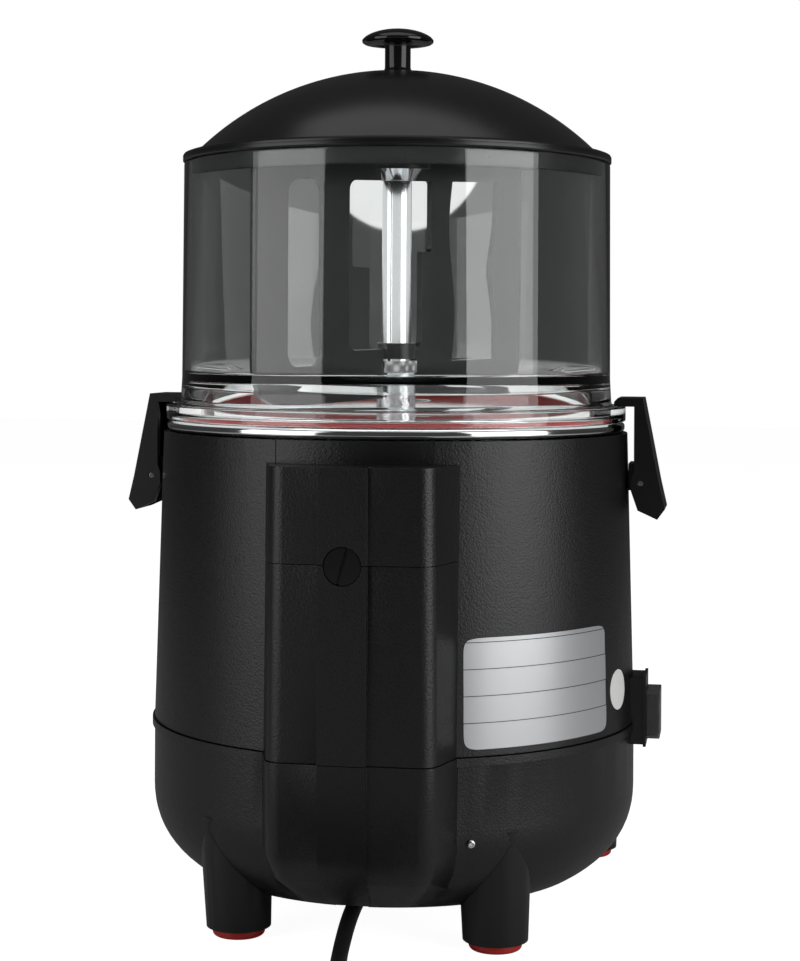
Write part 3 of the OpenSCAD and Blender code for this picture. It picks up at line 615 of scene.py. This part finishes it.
@dataclass
class Studio:
    """Camera, soft lights and pale floor.

    Attributes:
        eye: place of the camera
        turn: degrees that the view is turned from straight behind the machine
        roll: degrees of roll
        lens: focal length in millimetres on the sensor
        sensor: width of the sensor in millimetres
        shift: sideways and upward shift of the view
        stand_off: distance of the side boxes from the axis
        side_size: width and height of a side box
        sides: name, azimuth from the view in degrees and brightness of each side box
        room: brightness of the room, where neither the camera nor the clear bowl sees it
        floor_tone: grey of the floor
        floor_glow: light that the floor adds for the camera only, so that it reads as white
    """

    eye: tuple[float, float, float] = (-0.1799, 1.1102, 0.2942)
    turn: float = 9.72
    roll: float = 0.30
    lens: float = 75.29
    sensor: float = 36
    shift: tuple[float, float] = (0.0038, -0.145)
    stand_off: float = 1.5
    side_size: tuple[float, float] = (1.15, 1.6)
    sides: tuple[tuple[str, float, float], ...] = (("right_box", 56.0, 2.7), ("left_box", -58.0, 1.7))
    room: float = 0.05
    floor_tone: float = 0.6
    floor_glow: float = 0.95

    def camera(self) -> None:
        """Stand the camera level behind the machine, framed by its shift."""
        data = bpy.data.cameras.new("camera")
        data.lens = self.lens
        data.sensor_width = self.sensor
        data.shift_x, data.shift_y = self.shift
        data.clip_start = 0.01
        camera = bpy.data.objects.new("camera", data)
        turn, roll = math.radians(self.turn), math.radians(self.roll)
        right = np.array([-math.cos(turn), -math.sin(turn), 0])
        up = np.array([0.0, 0, 1])
        back = np.array([-math.sin(turn), math.cos(turn), 0])
        pose = np.eye(4)
        pose[:3, 0] = right * math.cos(roll) + up * math.sin(roll)
        pose[:3, 1] = up * math.cos(roll) - right * math.sin(roll)
        pose[:3, 2] = back
        pose[:3, 3] = self.eye
        camera.matrix_world = pose.T.tolist()
        bpy.context.scene.collection.objects.link(camera)
        bpy.context.scene.camera = camera

    def softbox(
        self,
        name: str,
        place: tuple[float, float, float],
        target: tuple[float, float, float],
        size: tuple[float, float],
        radiance: float,
    ) -> None:
        """One rectangular soft light.

        Args:
            name: name of the light
            place: its middle
            target: the point that it faces
            size: width and height in metres
            radiance: brightness of its face
        """
        data = bpy.data.lights.new(name, "AREA")
        data.shape = "RECTANGLE"
        data.size, data.size_y = size
        data.energy = radiance * math.pi * size[0] * size[1]
        light = bpy.data.objects.new(name, data)
        light.location = place
        aim = bpy.data.objects.new(f"{name}_aim", None)
        aim.location = target
        track = light.constraints.new("TRACK_TO")
        track.target = aim
        track.track_axis = "TRACK_NEGATIVE_Z"
        track.up_axis = "UP_Y"
        for item in (light, aim):
            bpy.context.scene.collection.objects.link(item)

    def lights(self) -> None:
        """Two tall boxes beside the camera, one overhead, and a pale room."""
        bowl = (0.0, AXIS_Y, 0.26)
        for name, azimuth, radiance in self.sides:
            angle = math.radians(90 + self.turn + azimuth)
            place = (
                self.stand_off * math.cos(angle),
                AXIS_Y + self.stand_off * math.sin(angle),
                0.55,
            )
            self.softbox(name, place, bowl, self.side_size, radiance)
        self.softbox("top_box", (0.0, 0.3, 2.2), bowl, (2.0, 2.0), 0.8)
        world = bpy.data.worlds.new("pale_room")
        bpy.context.scene.world = world
        world.use_nodes = True
        tree = world.node_tree
        ground = tree.nodes["Background"]
        ground.inputs["Color"].default_value = (1, 1, 1, 1)
        path = tree.nodes.new("ShaderNodeLightPath")
        seen = tree.nodes.new("ShaderNodeMath")
        seen.operation = "MAXIMUM"
        tree.links.new(path.outputs["Is Camera Ray"], seen.inputs[0])
        tree.links.new(path.outputs["Is Transmission Ray"], seen.inputs[1])
        level = tree.nodes.new("ShaderNodeMapRange")
        level.inputs["To Min"].default_value = self.room
        level.inputs["To Max"].default_value = 1.0
        tree.links.new(seen.outputs["Value"], level.inputs["Value"])
        tree.links.new(level.outputs["Result"], ground.inputs["Strength"])
        bpy.context.scene.view_settings.view_transform = "Standard"

    def floor(self) -> None:
        """A wide pale floor, which glows for the camera only."""
        half = 6.0
        mesh = bpy.data.meshes.new("floor")
        corners = [(-half, -half, 0), (half, -half, 0), (half, half, 0), (-half, half, 0)]
        mesh.from_pydata(corners, [], [(0, 1, 2, 3)])
        floor = bpy.data.objects.new("floor", mesh)
        bpy.context.scene.collection.objects.link(floor)
        material = bpy.data.materials.new("pale_floor")
        material.use_nodes = True
        shader = material.node_tree.nodes["Principled BSDF"]
        shader.inputs["Base Color"].default_value = (*[self.floor_tone] * 3, 1)
        shader.inputs["Roughness"].default_value = 0.6
        shader.inputs["Emission Color"].default_value = (1, 1, 1, 1)
        path = material.node_tree.nodes.new("ShaderNodeLightPath")
        level = material.node_tree.nodes.new("ShaderNodeMapRange")
        level.inputs["To Min"].default_value = 0.0
        level.inputs["To Max"].default_value = self.floor_glow
        material.node_tree.links.new(path.outputs["Is Camera Ray"], level.inputs["Value"])
        material.node_tree.links.new(level.outputs["Result"], shader.inputs["Emission Strength"])
        mesh.materials.append(material)


@dataclass
class MainsLead:
    """The lead: a tapered sleeve, the run to the coil, two layers of turns, a tie and the plug.

    Attributes:
        diameter: of the lead
        run: points from the sleeve to the coil, in millimetres about the bowl's axis
        tail: points from the coil to the plug
        centre: middle of the coil
        low: height of the lower layer's centreline
        high: height of the upper layer's centreline
        way_out: height of the sleeve's axis
        pin_length: how far the plug's pins stand out, in millimetres
    """

    diameter: float = 8.0
    run: tuple[tuple[float, float, float], ...] = (
        (3, 62, 21), (3, 74, 21), (3.5, 84, 20.6), (4, 94, 18.3), (4.6, 103, 14.3),
        (4.8, 112, 9.8), (4.4, 122, 6.1), (3.2, 132, 4.5), (1, 143, 4.2), (-2, 156, 4.2),
        (-6, 170, 4.2), (-10.5, 184, 4.2), (-15, 197, 4.2), (-19, 208, 4.2),
    )
    tail: tuple[tuple[float, float, float], ...] = (
        (40, 304, 11.5), (52, 305, 8.5), (66, 306, 7.5), (80, 307, 9),
    )
    centre: tuple[float, float] = (22, 250)
    low: float = 4.2
    high: float = 12.6
    way_out: float = 0.021
    pin_length: float = 19.0

    def turns(self) -> np.ndarray:
        """Two flat spirals and the climb between them, clockwise from above.

        The radius falls evenly over the lower layer, holds while the lead climbs a quarter
        turn, and grows evenly over the upper layer.

        Returns:
            n x 3 points in millimetres about the bowl's axis.
        """
        first, climb, last = 205.0, 115.0 - 720, 25.0 - 720
        end = 90.0 - 1440
        angle = np.concatenate([
            np.linspace(first, climb, 38),
            np.linspace(climb, last, 6)[1:],
            np.linspace(last, end, 31)[1:],
        ])
        radius = np.interp(-angle, [-first, -climb, -last, -end], [56, 36, 36, 54])
        height = np.interp(-angle, [-first, -climb, -last], [self.low, self.low, self.high])
        x = self.centre[0] + radius * np.cos(np.radians(angle))
        y = self.centre[1] + radius * np.sin(np.radians(angle))
        return np.stack([x, y, height], -1)

    def lead(self) -> bpy.types.Object:
        """The lead itself, one smooth curve through its points.

        Returns:
            The curve object.
        """
        points = [*self.run, *self.turns().tolist(), *self.tail]
        data = bpy.data.curves.new("mains_lead", "CURVE")
        data.dimensions = "3D"
        data.bevel_depth = self.diameter / 2 * MM
        data.bevel_resolution = 4
        data.resolution_u = 5
        data.use_fill_caps = True
        spline = data.splines.new("BEZIER")
        spline.bezier_points.add(len(points) - 1)
        places = np.array([on_axis(p) for p in points], np.float32)
        spline.bezier_points.foreach_set("co", places.ravel())
        for point in spline.bezier_points:
            point.handle_left_type = point.handle_right_type = "AUTO"
        lead = bpy.data.objects.new("mains_lead", data)
        bpy.context.scene.collection.objects.link(lead)
        return lead

    def sleeve(self) -> bpy.types.Object:
        """Tapered strain relief with six ribs, along the lead's way out.

        The radius falls evenly from 7 to 4.7 mm, and each rib adds up to 0.55 mm.

        Returns:
            The piece.
        """
        low, high = (np.array(c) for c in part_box("cord_gland"))
        start, end = high[1] - 16 * MM, high[1]
        along = np.linspace(0, 1, 61)
        ribs = 0.55 * MM * np.clip(np.sin(along * np.pi * 11), 0, 1) ** 0.5
        outer = 7.0 * MM - 2.3 * MM * along + ribs
        station = start + (end - start) * along
        inner = self.diameter / 2 * MM + 0.1 * MM
        outline = np.concatenate([
            np.stack([outer, station], -1),
            [[inner, end], [inner, start]],
        ])
        angle = np.linspace(0, 2 * np.pi, 48, endpoint=False)
        middle = ((low[0] + high[0]) / 2, self.way_out)
        x = middle[0] + outline[:, :1] * np.cos(angle)
        z = middle[1] + outline[:, :1] * np.sin(angle)
        y = np.broadcast_to(outline[:, 1:], x.shape)
        points = np.stack([x, y, z], -1).reshape(-1, 3)
        return surface("lead_sleeve", points, wrap(len(outline), 48))

    def tie(self) -> bpy.types.Object:
        """A flat strap round the coil's section on its +X side.

        The section is a rounded box: its centreline is a superellipse of power six.

        Returns:
            The piece.
        """
        angle = np.linspace(0, 2 * np.pi, 72, endpoint=False)
        power = 2 / 6

        def round_box(half_x: float, half_z: float) -> np.ndarray:
            """Points of the superellipse, x then z."""
            c, s = np.cos(angle), np.sin(angle)
            return np.stack(
                [half_x * np.sign(c) * np.abs(c) ** power, half_z * np.sign(s) * np.abs(s) ** power],
                -1,
            )

        outer, inner = round_box(15.2, 8.75), round_box(14.2, 8.3)
        across = 4.5
        rings = [(outer, -across), (outer, across), (inner, across), (inner, -across)]
        points = np.array([
            [(self.centre[0] + 45 + x, self.centre[1] + w, 8.85 + z) for x, z in ring]
            for ring, w in rings
        ])
        points = points * MM + np.array([0, AXIS_Y, 0])
        return surface("lead_tie", points.reshape(-1, 3), wrap(4, len(angle)), 60.0)

    def build(self) -> None:
        lead = self.lead()
        lead.data.materials.append(FINISHES["cord_rubber"].material())
        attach(lead, ROOT)
        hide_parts("cord_run", "cord_coil", "cord_tail")
        sleeve = dress(self.sleeve(), FINISHES["cord_rubber"], "cord_gland")
        tie = self.tie()
        tie.data.materials.append(FINISHES["cord_rubber"].material())
        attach(tie, ROOT)
        plug = softened("plug", 1.2 * MM, segments=3)
        self.bare_pins(plug)

    def bare_pins(self, plug: bpy.types.Object) -> None:
        """Give the plug's pins, which are past its body, bare metal.

        Args:
            plug: the plug's piece
        """
        plug.data.materials.append(FINISHES["polished_steel"].material())
        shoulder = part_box("plug")[1].x - self.pin_length * MM
        faces = plug.data.polygons
        middle = np.zeros(len(faces) * 3, np.float32)
        faces.foreach_get("center", middle)
        past = (middle.reshape(-1, 3)[:, 0] > shoulder + 0.5 * MM).astype(np.int32)
        faces.foreach_set("material_index", past)


@dataclass
class Lid:
    """Domed lid with a rolled rim, and its mushroom knob.

    Attributes:
        wall: thickness of the dome
        band: height of the rim
        dimple: depth of the hollow round the knob's stem
    """

    wall: float = 2.5 * MM
    band: float = 4.6 * MM
    dimple: float = 1.0 * MM

    def dome(self) -> bpy.types.Object:
        """A spherical cap that ends in a grooved rim with a skirt inside the bowl.

        Height of the cap at radius r is centre + sqrt(R squared - r squared), less a bell
        shaped dimple at the middle.

        Returns:
            The piece.
        """
        low, high = (np.array(c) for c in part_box("lid"))
        edge = (high[0] - low[0]) / 2
        rest = float(BOWL_HIGH[2]) + 0.4 * MM
        top, base = high[2], rest + self.band
        reach = edge - 6.2 * MM
        rise = top - base
        ball = (reach**2 + rise**2) / (2 * rise)

        def cap(radius: np.ndarray, size: float) -> np.ndarray:
            """Height of a sphere about the dome's centre, dimpled at the middle."""
            bell = self.dimple * np.exp(-((radius / (9 * MM)) ** 2))
            return top - ball + np.sqrt(size**2 - radius**2) - bell

        outer_r = np.linspace(0, reach - 0.4 * MM, 46)
        outer = np.stack([outer_r, cap(outer_r, ball)], -1)
        skirt = edge - 4.8 * MM
        foot = low[2]
        groove = rest + 2.4 * MM
        rim = [
            (reach + 0.6 * MM, base - 0.5 * MM), (reach + 1.8 * MM, base - 0.3 * MM),
            (edge - 1.6 * MM, base + 0.1 * MM), (edge - 0.5 * MM, base - 0.3 * MM),
            (edge, base - 1.2 * MM), (edge, groove + 0.35 * MM), (edge - 0.45 * MM, groove + 0.2 * MM),
            (edge - 0.45 * MM, groove - 0.2 * MM), (edge, groove - 0.35 * MM),
            (edge, rest + 0.9 * MM), (edge - 0.7 * MM, rest + 0.1 * MM), (skirt + 0.3 * MM, rest),
            (skirt, rest - 0.4 * MM), (skirt, foot + 0.6 * MM), (skirt - 0.5 * MM, foot),
            (skirt - self.wall + 0.4 * MM, foot), (skirt - self.wall, foot + 0.6 * MM),
        ]
        inner_r = np.linspace(skirt - self.wall, 0, 40)
        inner = np.stack([inner_r, cap(inner_r, ball - self.wall)], -1)
        return turned("lid_dome", np.concatenate([outer, rim, inner]), 176)

    def knob(self) -> bpy.types.Object:
        """A mushroom: a short flared stem under a thin rounded cap, hollow underneath.

        Returns:
            The piece.
        """
        low, high = (np.array(c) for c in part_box("lid_knob"))
        top, base, cap = high[2], low[2] - 0.9 * MM, (high[0] - low[0]) / 2
        stem = 6.85 * MM
        edge = top - 6.3 * MM
        crown = np.linspace(0, 1, 24)
        crown_r = cap * np.sin(crown * np.pi / 2)
        crown_z = edge + (top - edge) * np.cos(crown * np.pi / 2) ** 1.25
        under = [
            (cap - 0.25 * MM, edge - 0.9 * MM), (cap - 1.1 * MM, edge - 1.5 * MM),
            (cap - 2.6 * MM, edge - 1.6 * MM), (cap - 4.4 * MM, edge - 0.9 * MM),
            (cap - 7.0 * MM, edge - 0.2 * MM), (stem + 1.6 * MM, edge - 0.6 * MM),
            (stem + 0.3 * MM, edge - 2.2 * MM), (stem, edge - 4.0 * MM), (stem, base + 3.2 * MM),
            (stem + 0.4 * MM, base + 1.6 * MM), (stem + 1.3 * MM, base + 0.5 * MM),
            (stem + 1.4 * MM, base), (0, base),
        ]
        outline = np.concatenate([np.stack([crown_r, crown_z], -1), under])
        return turned("lid_knob_cap", outline, 112)

    def build(self) -> None:
        """Make the dome and the knob."""
        dress(self.dome(), LID_BLACK, "lid")
        dress(self.knob(), FINISHES["gloss_black"], "lid_knob", "lid_screw")


@dataclass
class Bowl:
    """Clear bowl, its silicone gasket and the polished pan under it.

    Attributes:
        wall: thickness of the bowl's side
        flange: height of its foot flange
        step: height of the ledge above the foot
        skirt: depth of the rim that hangs outside the gasket
        skirt_wall: thickness of that rim
    """

    wall: float = 3.4 * MM
    flange: float = 5.0 * MM
    step: float = 19.0 * MM
    skirt: float = 2.7 * MM
    skirt_wall: float = 6.4 * MM

    def shell(self) -> bpy.types.Object:
        """The bowl: a thick collar and foot flange under a thin upright side.

        Returns:
            The piece.
        """
        low, top = float(BOWL_LOW[2]), float(BOWL_HIGH[2])
        base = low + self.skirt
        foot = float(BOWL_HIGH[0] - BOWL_LOW[0]) / 2
        side = foot - 8.7 * MM
        inner = side - self.wall
        throat = inner - 6 * MM
        lip = base + self.flange
        ledge = base + self.step
        outline = fillet(
            [
                (throat, base), (foot - self.skirt_wall, base), (foot - self.skirt_wall, low),
                (foot, low), (foot, lip), (side + 2.4 * MM, lip),
                (side + 1.2 * MM, lip + 1.6 * MM), (side + 0.5 * MM, ledge), (side, top),
                (inner, top), (inner, ledge + 3 * MM), (throat + 1.5 * MM, ledge - 2 * MM),
                (throat, ledge - 6 * MM),
            ],
            0.9 * MM,
        )
        return turned("clear_bowl", outline, 176)

    def gasket(self) -> bpy.types.Object:
        """A flat ring with three rounded ribs round its outer edge.

        Returns:
            The piece.
        """
        low, high = (np.array(c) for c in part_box("bowl_gasket"))
        outer = (high[0] - low[0]) / 2
        inner = outer - 11.4 * MM
        t = np.linspace(0, 1, 37)
        bulge = 0.5 * MM * np.abs(np.sin(3 * np.pi * t))
        edge = np.stack([outer - 0.5 * MM + bulge, low[2] + (high[2] - low[2]) * t], -1)
        outline = np.concatenate([edge, [[inner, high[2]], [inner, low[2]]]])
        return turned("bowl_gasket_ring", outline, 144)

    def build(self) -> None:
        """Make the bowl, the gasket and the pan."""
        dress(self.shell(), FINISHES["clear_bowl"], "bowl")
        dress(self.gasket(), FINISHES["red_rubber"], "bowl_gasket")
        softened("heating_pan", 0.9 * MM, segments=4)


@dataclass
class Stirrer:
    """Guard tube, its nut, the paddle and the funnel shaped hub."""

    def tube(self) -> bpy.types.Object:
        """The guard tube, with a small lead-in at its top.

        Returns:
            The piece.
        """
        low, high = (np.array(c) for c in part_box("centre_tube"))
        outer = (high[0] - low[0]) / 2
        outline = fillet(
            [(outer - 1.6 * MM, low[2]), (outer, low[2]), (outer, high[2]), (outer - 1.6 * MM, high[2])],
            0.4 * MM,
        )
        return turned("guard_tube", outline, 72)

    def hub(self) -> bpy.types.Object:
        """The funnel that drives the paddle: a cone that opens upwards under a short drum.

        Returns:
            The piece.
        """
        low, high = (np.array(c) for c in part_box("stirrer_hub"))
        drum = (high[0] - low[0]) / 2
        base, top = low[2], high[2]
        bore = 8.2 * MM
        outline = fillet(
            [
                (bore, base), (bore + 1.2 * MM, base), (drum, base + 7.5 * MM), (drum, top - 2 * MM),
                (drum - 2 * MM, top), (4 * MM, top), (4 * MM, base + 6 * MM), (bore, base + 6 * MM),
            ],
            0.5 * MM,
        )
        return turned("paddle_hub", outline, 96)

    def build(self) -> None:
        """Make the tube, the hub, the nut and the paddle."""
        dress(self.tube(), FINISHES["polished_steel"], "centre_tube")
        dress(self.hub(), FINISHES["polished_steel"], "stirrer_hub")
        softened("tube_nut", 0.5 * MM, KNURLED_STEEL)
        softened("stirring_paddle", 0.8 * MM, segments=3)


@dataclass
class Housing:
    """Body, base, spine, screw and cap, the labels and the feet.

    Attributes:
        screw_seat: distance from the axis to the seat of the screw head
        screw_turn: degrees from the +X side to the screw
        pad_radius: radius of a foot pad
        rear_spread: distance of a rear pad from the middle, sideways
    """

    screw_seat: float = 126.02 * MM
    screw_turn: float = 116.5
    pad_radius: float = 13 * MM
    rear_spread: float = 64 * MM

    def pads(self) -> bpy.types.Object:
        """Four rubber pads, each a short drum with eased edges.

        Returns:
            The joined piece.
        """
        low, high = (np.array(c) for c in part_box("foot_pads"))
        top, reach = high[2], self.pad_radius
        outline = fillet(
            [(0, 0), (reach - 1 * MM, 0), (reach, 1.2 * MM), (reach, top), (0, top)], 0.7 * MM
        )
        outline[outline[:, 0] < 1e-4, 0] = 0
        columns = 64
        angle = np.linspace(0, 2 * np.pi, columns, endpoint=False)
        faces = wrap(len(outline), columns)
        rear, front = high[1] - reach, low[1] + reach
        wide, narrow = high[0] - reach, self.rear_spread
        middles = [(narrow, rear), (-narrow, rear), (wide, front), (-wide, front)]
        points, parts = [], []
        for index, (cx, cy) in enumerate(middles):
            x = cx + outline[:, :1] * np.cos(angle)
            y = cy + outline[:, :1] * np.sin(angle)
            z = np.broadcast_to(outline[:, 1:], x.shape)
            points.append(np.stack([x, y, z], -1).reshape(-1, 3))
            parts.append(faces + index * len(outline) * columns)
        return surface("foot_pad_set", np.concatenate(points), np.concatenate(parts))

    def screw(self) -> bpy.types.Object:
        """A domed screw head with a six lobed socket, beside the spine's foot.

        The head is a grid of angle and station; the socket's radius is rippled by six lobes,
        and the head looks straight out of the base's round side.

        Returns:
            The piece.
        """
        low, high = (np.array(c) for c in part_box("cover_screws"))
        radius = 2 * MM
        columns = 72
        angle = np.linspace(0, 2 * np.pi, columns, endpoint=False)
        station = np.array([
            (0, 0), (1, 0), (1.02, 0.3), (0.97, 0.62), (0.8, 0.9), (0.6, 1.02), (0.46, 1.05),
            (0.42, 0.95), (0.4, 0.35), (0, 0.3),
        ])
        lobes = 1 + 0.16 * np.cos(6 * angle)[None, :]
        rippled = (station[:, :1] < 0.5) & (station[:, :1] > 0.1) & (station[:, 1:] > 0)
        reach = radius * station[:, :1] * np.where(rippled, lobes, 1)
        proud = np.broadcast_to(self.screw_seat + station[:, 1:] * 1.1 * MM, reach.shape)
        faces = wrap(len(station), columns)
        turn = math.radians(self.screw_turn)
        across = reach * np.cos(angle)
        x = proud * math.cos(turn) - across * math.sin(turn)
        y = AXIS_Y + proud * math.sin(turn) + across * math.cos(turn)
        z = (low[2] + high[2]) / 2 + reach * np.sin(angle)
        points = np.stack([x, y, z], -1).reshape(-1, 3)
        return surface("base_screw", points, faces)

    def label(self, node: str, name: str) -> bpy.types.Object:
        """A thin label bent round the body's cone, with rounded corners and a printed plan.

        The radius at each height is the body's cone plus a small lift. The half height at each
        angle u is (1 - |u|^n)^(1/n), with n = 14 for rounded corners and n = 2 for a disc.

        Args:
            node: CAD node that it stands for
            name: name of the piece

        Returns:
            The piece.
        """
        co = np.zeros(len(frame["nodes"][node].data.vertices) * 3, np.float32)
        frame["nodes"][node].data.vertices.foreach_get("co", co)
        places = co.reshape(-1, 3) - np.array([0, AXIS_Y, 0])
        turn = np.degrees(np.arctan2(places[:, 1], places[:, 0]))
        reach = np.hypot(places[:, 0], places[:, 1])
        slope = np.polyfit(places[:, 2], reach, 1)
        lift = 0.12 * MM
        middle = np.array([turn.min() + turn.max(), places[:, 2].min() + places[:, 2].max()]) / 2
        half = np.array([np.ptp(turn), np.ptp(places[:, 2])]) / 2
        power = 2.0 if "sticker" in node else 14.0
        rows, columns = 9, 81
        across = 0.9995 * np.sin(np.linspace(-np.pi / 2, np.pi / 2, columns))
        tall = (1 - np.abs(across) ** power) ** (1 / power)
        u = np.concatenate([across, across[::-1]])[:, None]
        v = np.concatenate([tall, tall[::-1]])[:, None] * np.linspace(-1, 1, rows)
        angle = np.radians(middle[0] + half[0] * u)
        z = middle[1] + half[1] * v
        face = np.where(np.arange(2 * columns) < columns, lift, -lift)[:, None]
        r = np.polyval(slope, z) + face
        points = np.stack([r * np.cos(angle), AXIS_Y + r * np.sin(angle), z], -1)
        i, j = np.meshgrid(np.arange(2 * columns), np.arange(rows - 1), indexing="ij")
        i2 = (i + 1) % (2 * columns)
        sides = np.stack([i * rows + j, i2 * rows + j, i2 * rows + j + 1, i * rows + j + 1], -1)
        k = np.arange(columns - 1)
        edge = np.stack([k, 2 * columns - 1 - k, 2 * columns - 2 - k, k + 1], -1) * rows
        faces = np.concatenate([sides.reshape(-1, 4), edge, edge[:, ::-1] + rows - 1])
        piece = surface(name, points.reshape(-1, 3), faces, 60.0)
        self.plan_map(piece, middle, half)
        return piece

    @staticmethod
    def plan_map(piece: bpy.types.Object, middle: np.ndarray, half: np.ndarray) -> None:
        """Lay a UV map over a label: its angle and height, each from 0 to 1.

        Args:
            piece: the label
            middle: angle in degrees and height of its middle
            half: half of its angle and height
        """
        mesh = piece.data
        co = np.zeros(len(mesh.vertices) * 3, np.float32)
        mesh.vertices.foreach_get("co", co)
        co = co.reshape(-1, 3)
        corner = np.zeros(len(mesh.loops), np.int32)
        mesh.loops.foreach_get("vertex_index", corner)
        turn = np.degrees(np.arctan2(co[:, 1] - AXIS_Y, co[:, 0]))
        u = 0.5 - (turn - middle[0]) / (2 * half[0])
        v = 0.5 + (co[:, 2] - middle[1]) / (2 * half[1])
        layer = mesh.uv_layers.new(name="label")
        layer.data.foreach_set("uv", np.stack([u, v], -1)[corner].astype(np.float32).ravel())

    def build(self) -> None:
        """Make the housing's pieces."""
        for node in ("body_shell", "base_shell"):
            softened(node, 0.8 * MM, segments=3)
        for node in ("rear_cover", "reset_cover"):
            softened(node, 1.6 * MM, segments=4)
        for node in ("rear_legs", "front_legs", "reset_cap"):
            softened(node, 0.5 * MM)
        dress(self.pads(), FINISHES["red_rubber"], "foot_pads")
        dress(self.screw(), FINISHES["polished_steel"], "cover_screws")
        dress(self.label("rating_label", "foil_label"), FINISHES["silver_label"], "rating_label")
        dress(self.label("round_sticker", "round_label"), FINISHES["white_label"], "round_sticker")


@dataclass
class Fittings:
    """Latches, rocker switch, tap, control panel and drip tray, with eased edges."""

    latches: tuple[str, ...] = (
        "latch_bracket_left", "latch_bracket_right", "latch_arm_left", "latch_arm_right",
        "latch_pin_left", "latch_pin_right",
    )
    switch: tuple[str, ...] = ("switch_housing", "switch_rocker")
    window: str = "switch_cover"
    tap: tuple[str, ...] = ("tap_body", "tap_bonnet", "tap_lever", "tap_lever_pin", "outlet_elbow")
    front: tuple[str, ...] = ("front_housing", "tray_shelf", "drip_tray", "drip_grid", "pilot_lamp")

    def dial(self) -> bpy.types.Object:
        """The thermostat knob: a skirt and a fluted grip, turned about the front axis.

        The grip's radius is rippled by twenty shallow flutes.

        Returns:
            The piece.
        """
        low, high = (np.array(c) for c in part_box("thermostat_knob"))
        rim = (high[0] - low[0]) / 2
        middle = (low + high) / 2
        face = high[1] - 4.9 * MM
        outline = np.array([
            (0, -4.9), (3, -4.9), (3, 0), (19, 0), (19, 2.2), (18.2, 3), (16.4, 3.4), (15.8, 4.2),
            (15.2, 9), (14.8, 13.4), (13.8, 14.7), (12, 15), (6, 14.6), (0, 14.5),
        ]) * MM
        outline[:, 0] = np.minimum(outline[:, 0], rim)
        columns = 160
        angle = np.linspace(0, 2 * np.pi, columns, endpoint=False)
        flutes = 1 + 0.035 * np.cos(20 * angle)[None, :]
        grip = (outline[:, 1:] > 4 * MM) & (outline[:, :1] > 13 * MM)
        reach = outline[:, :1] * np.where(grip, flutes, 1)
        x = middle[0] + reach * np.cos(angle)
        z = middle[2] + reach * np.sin(angle)
        y = np.broadcast_to(face - outline[:, 1:], x.shape)
        points = np.stack([x, y, z], -1).reshape(-1, 3)
        return surface("heat_dial", points, wrap(len(outline), columns))

    def build(self) -> None:
        """Ease the edges of every fitting and make the dial."""
        for node in (*self.latches, *self.switch, *self.tap, *self.front):
            softened(node, 0.4 * MM)
        softened(self.window, 0.4 * MM, FINISHES["smoke_cover"])
        dress(self.dial(), FINISHES["gloss_black"], "thermostat_knob")


def finish_kept_nodes() -> None:
    """Give every CAD node that still shows its slot's finish."""
    for name, node in frame["nodes"].items():
        if node.hide_render:
            continue
        material = FINISHES[SLOT_OF[name]].material()
        if node.material_slots:
            for held in node.material_slots:
                held.material = material
        else:
            node.data.materials.append(material)
        LOG.info("%s keeps its CAD shape", name)


def main() -> None:
    """Build the scene in order: view, lead, then each sub-assembly."""
    logging.basicConfig(level=logging.INFO, format="%(name)s: %(message)s")
    studio = Studio()
    studio.camera()
    MainsLead().build()
    studio.lights()
    studio.floor()
    for assembly in (Lid(), Bowl(), Stirrer(), Housing(), Fittings()):
        assembly.build()
    finish_kept_nodes()


if __name__ == "__main__":
    main()
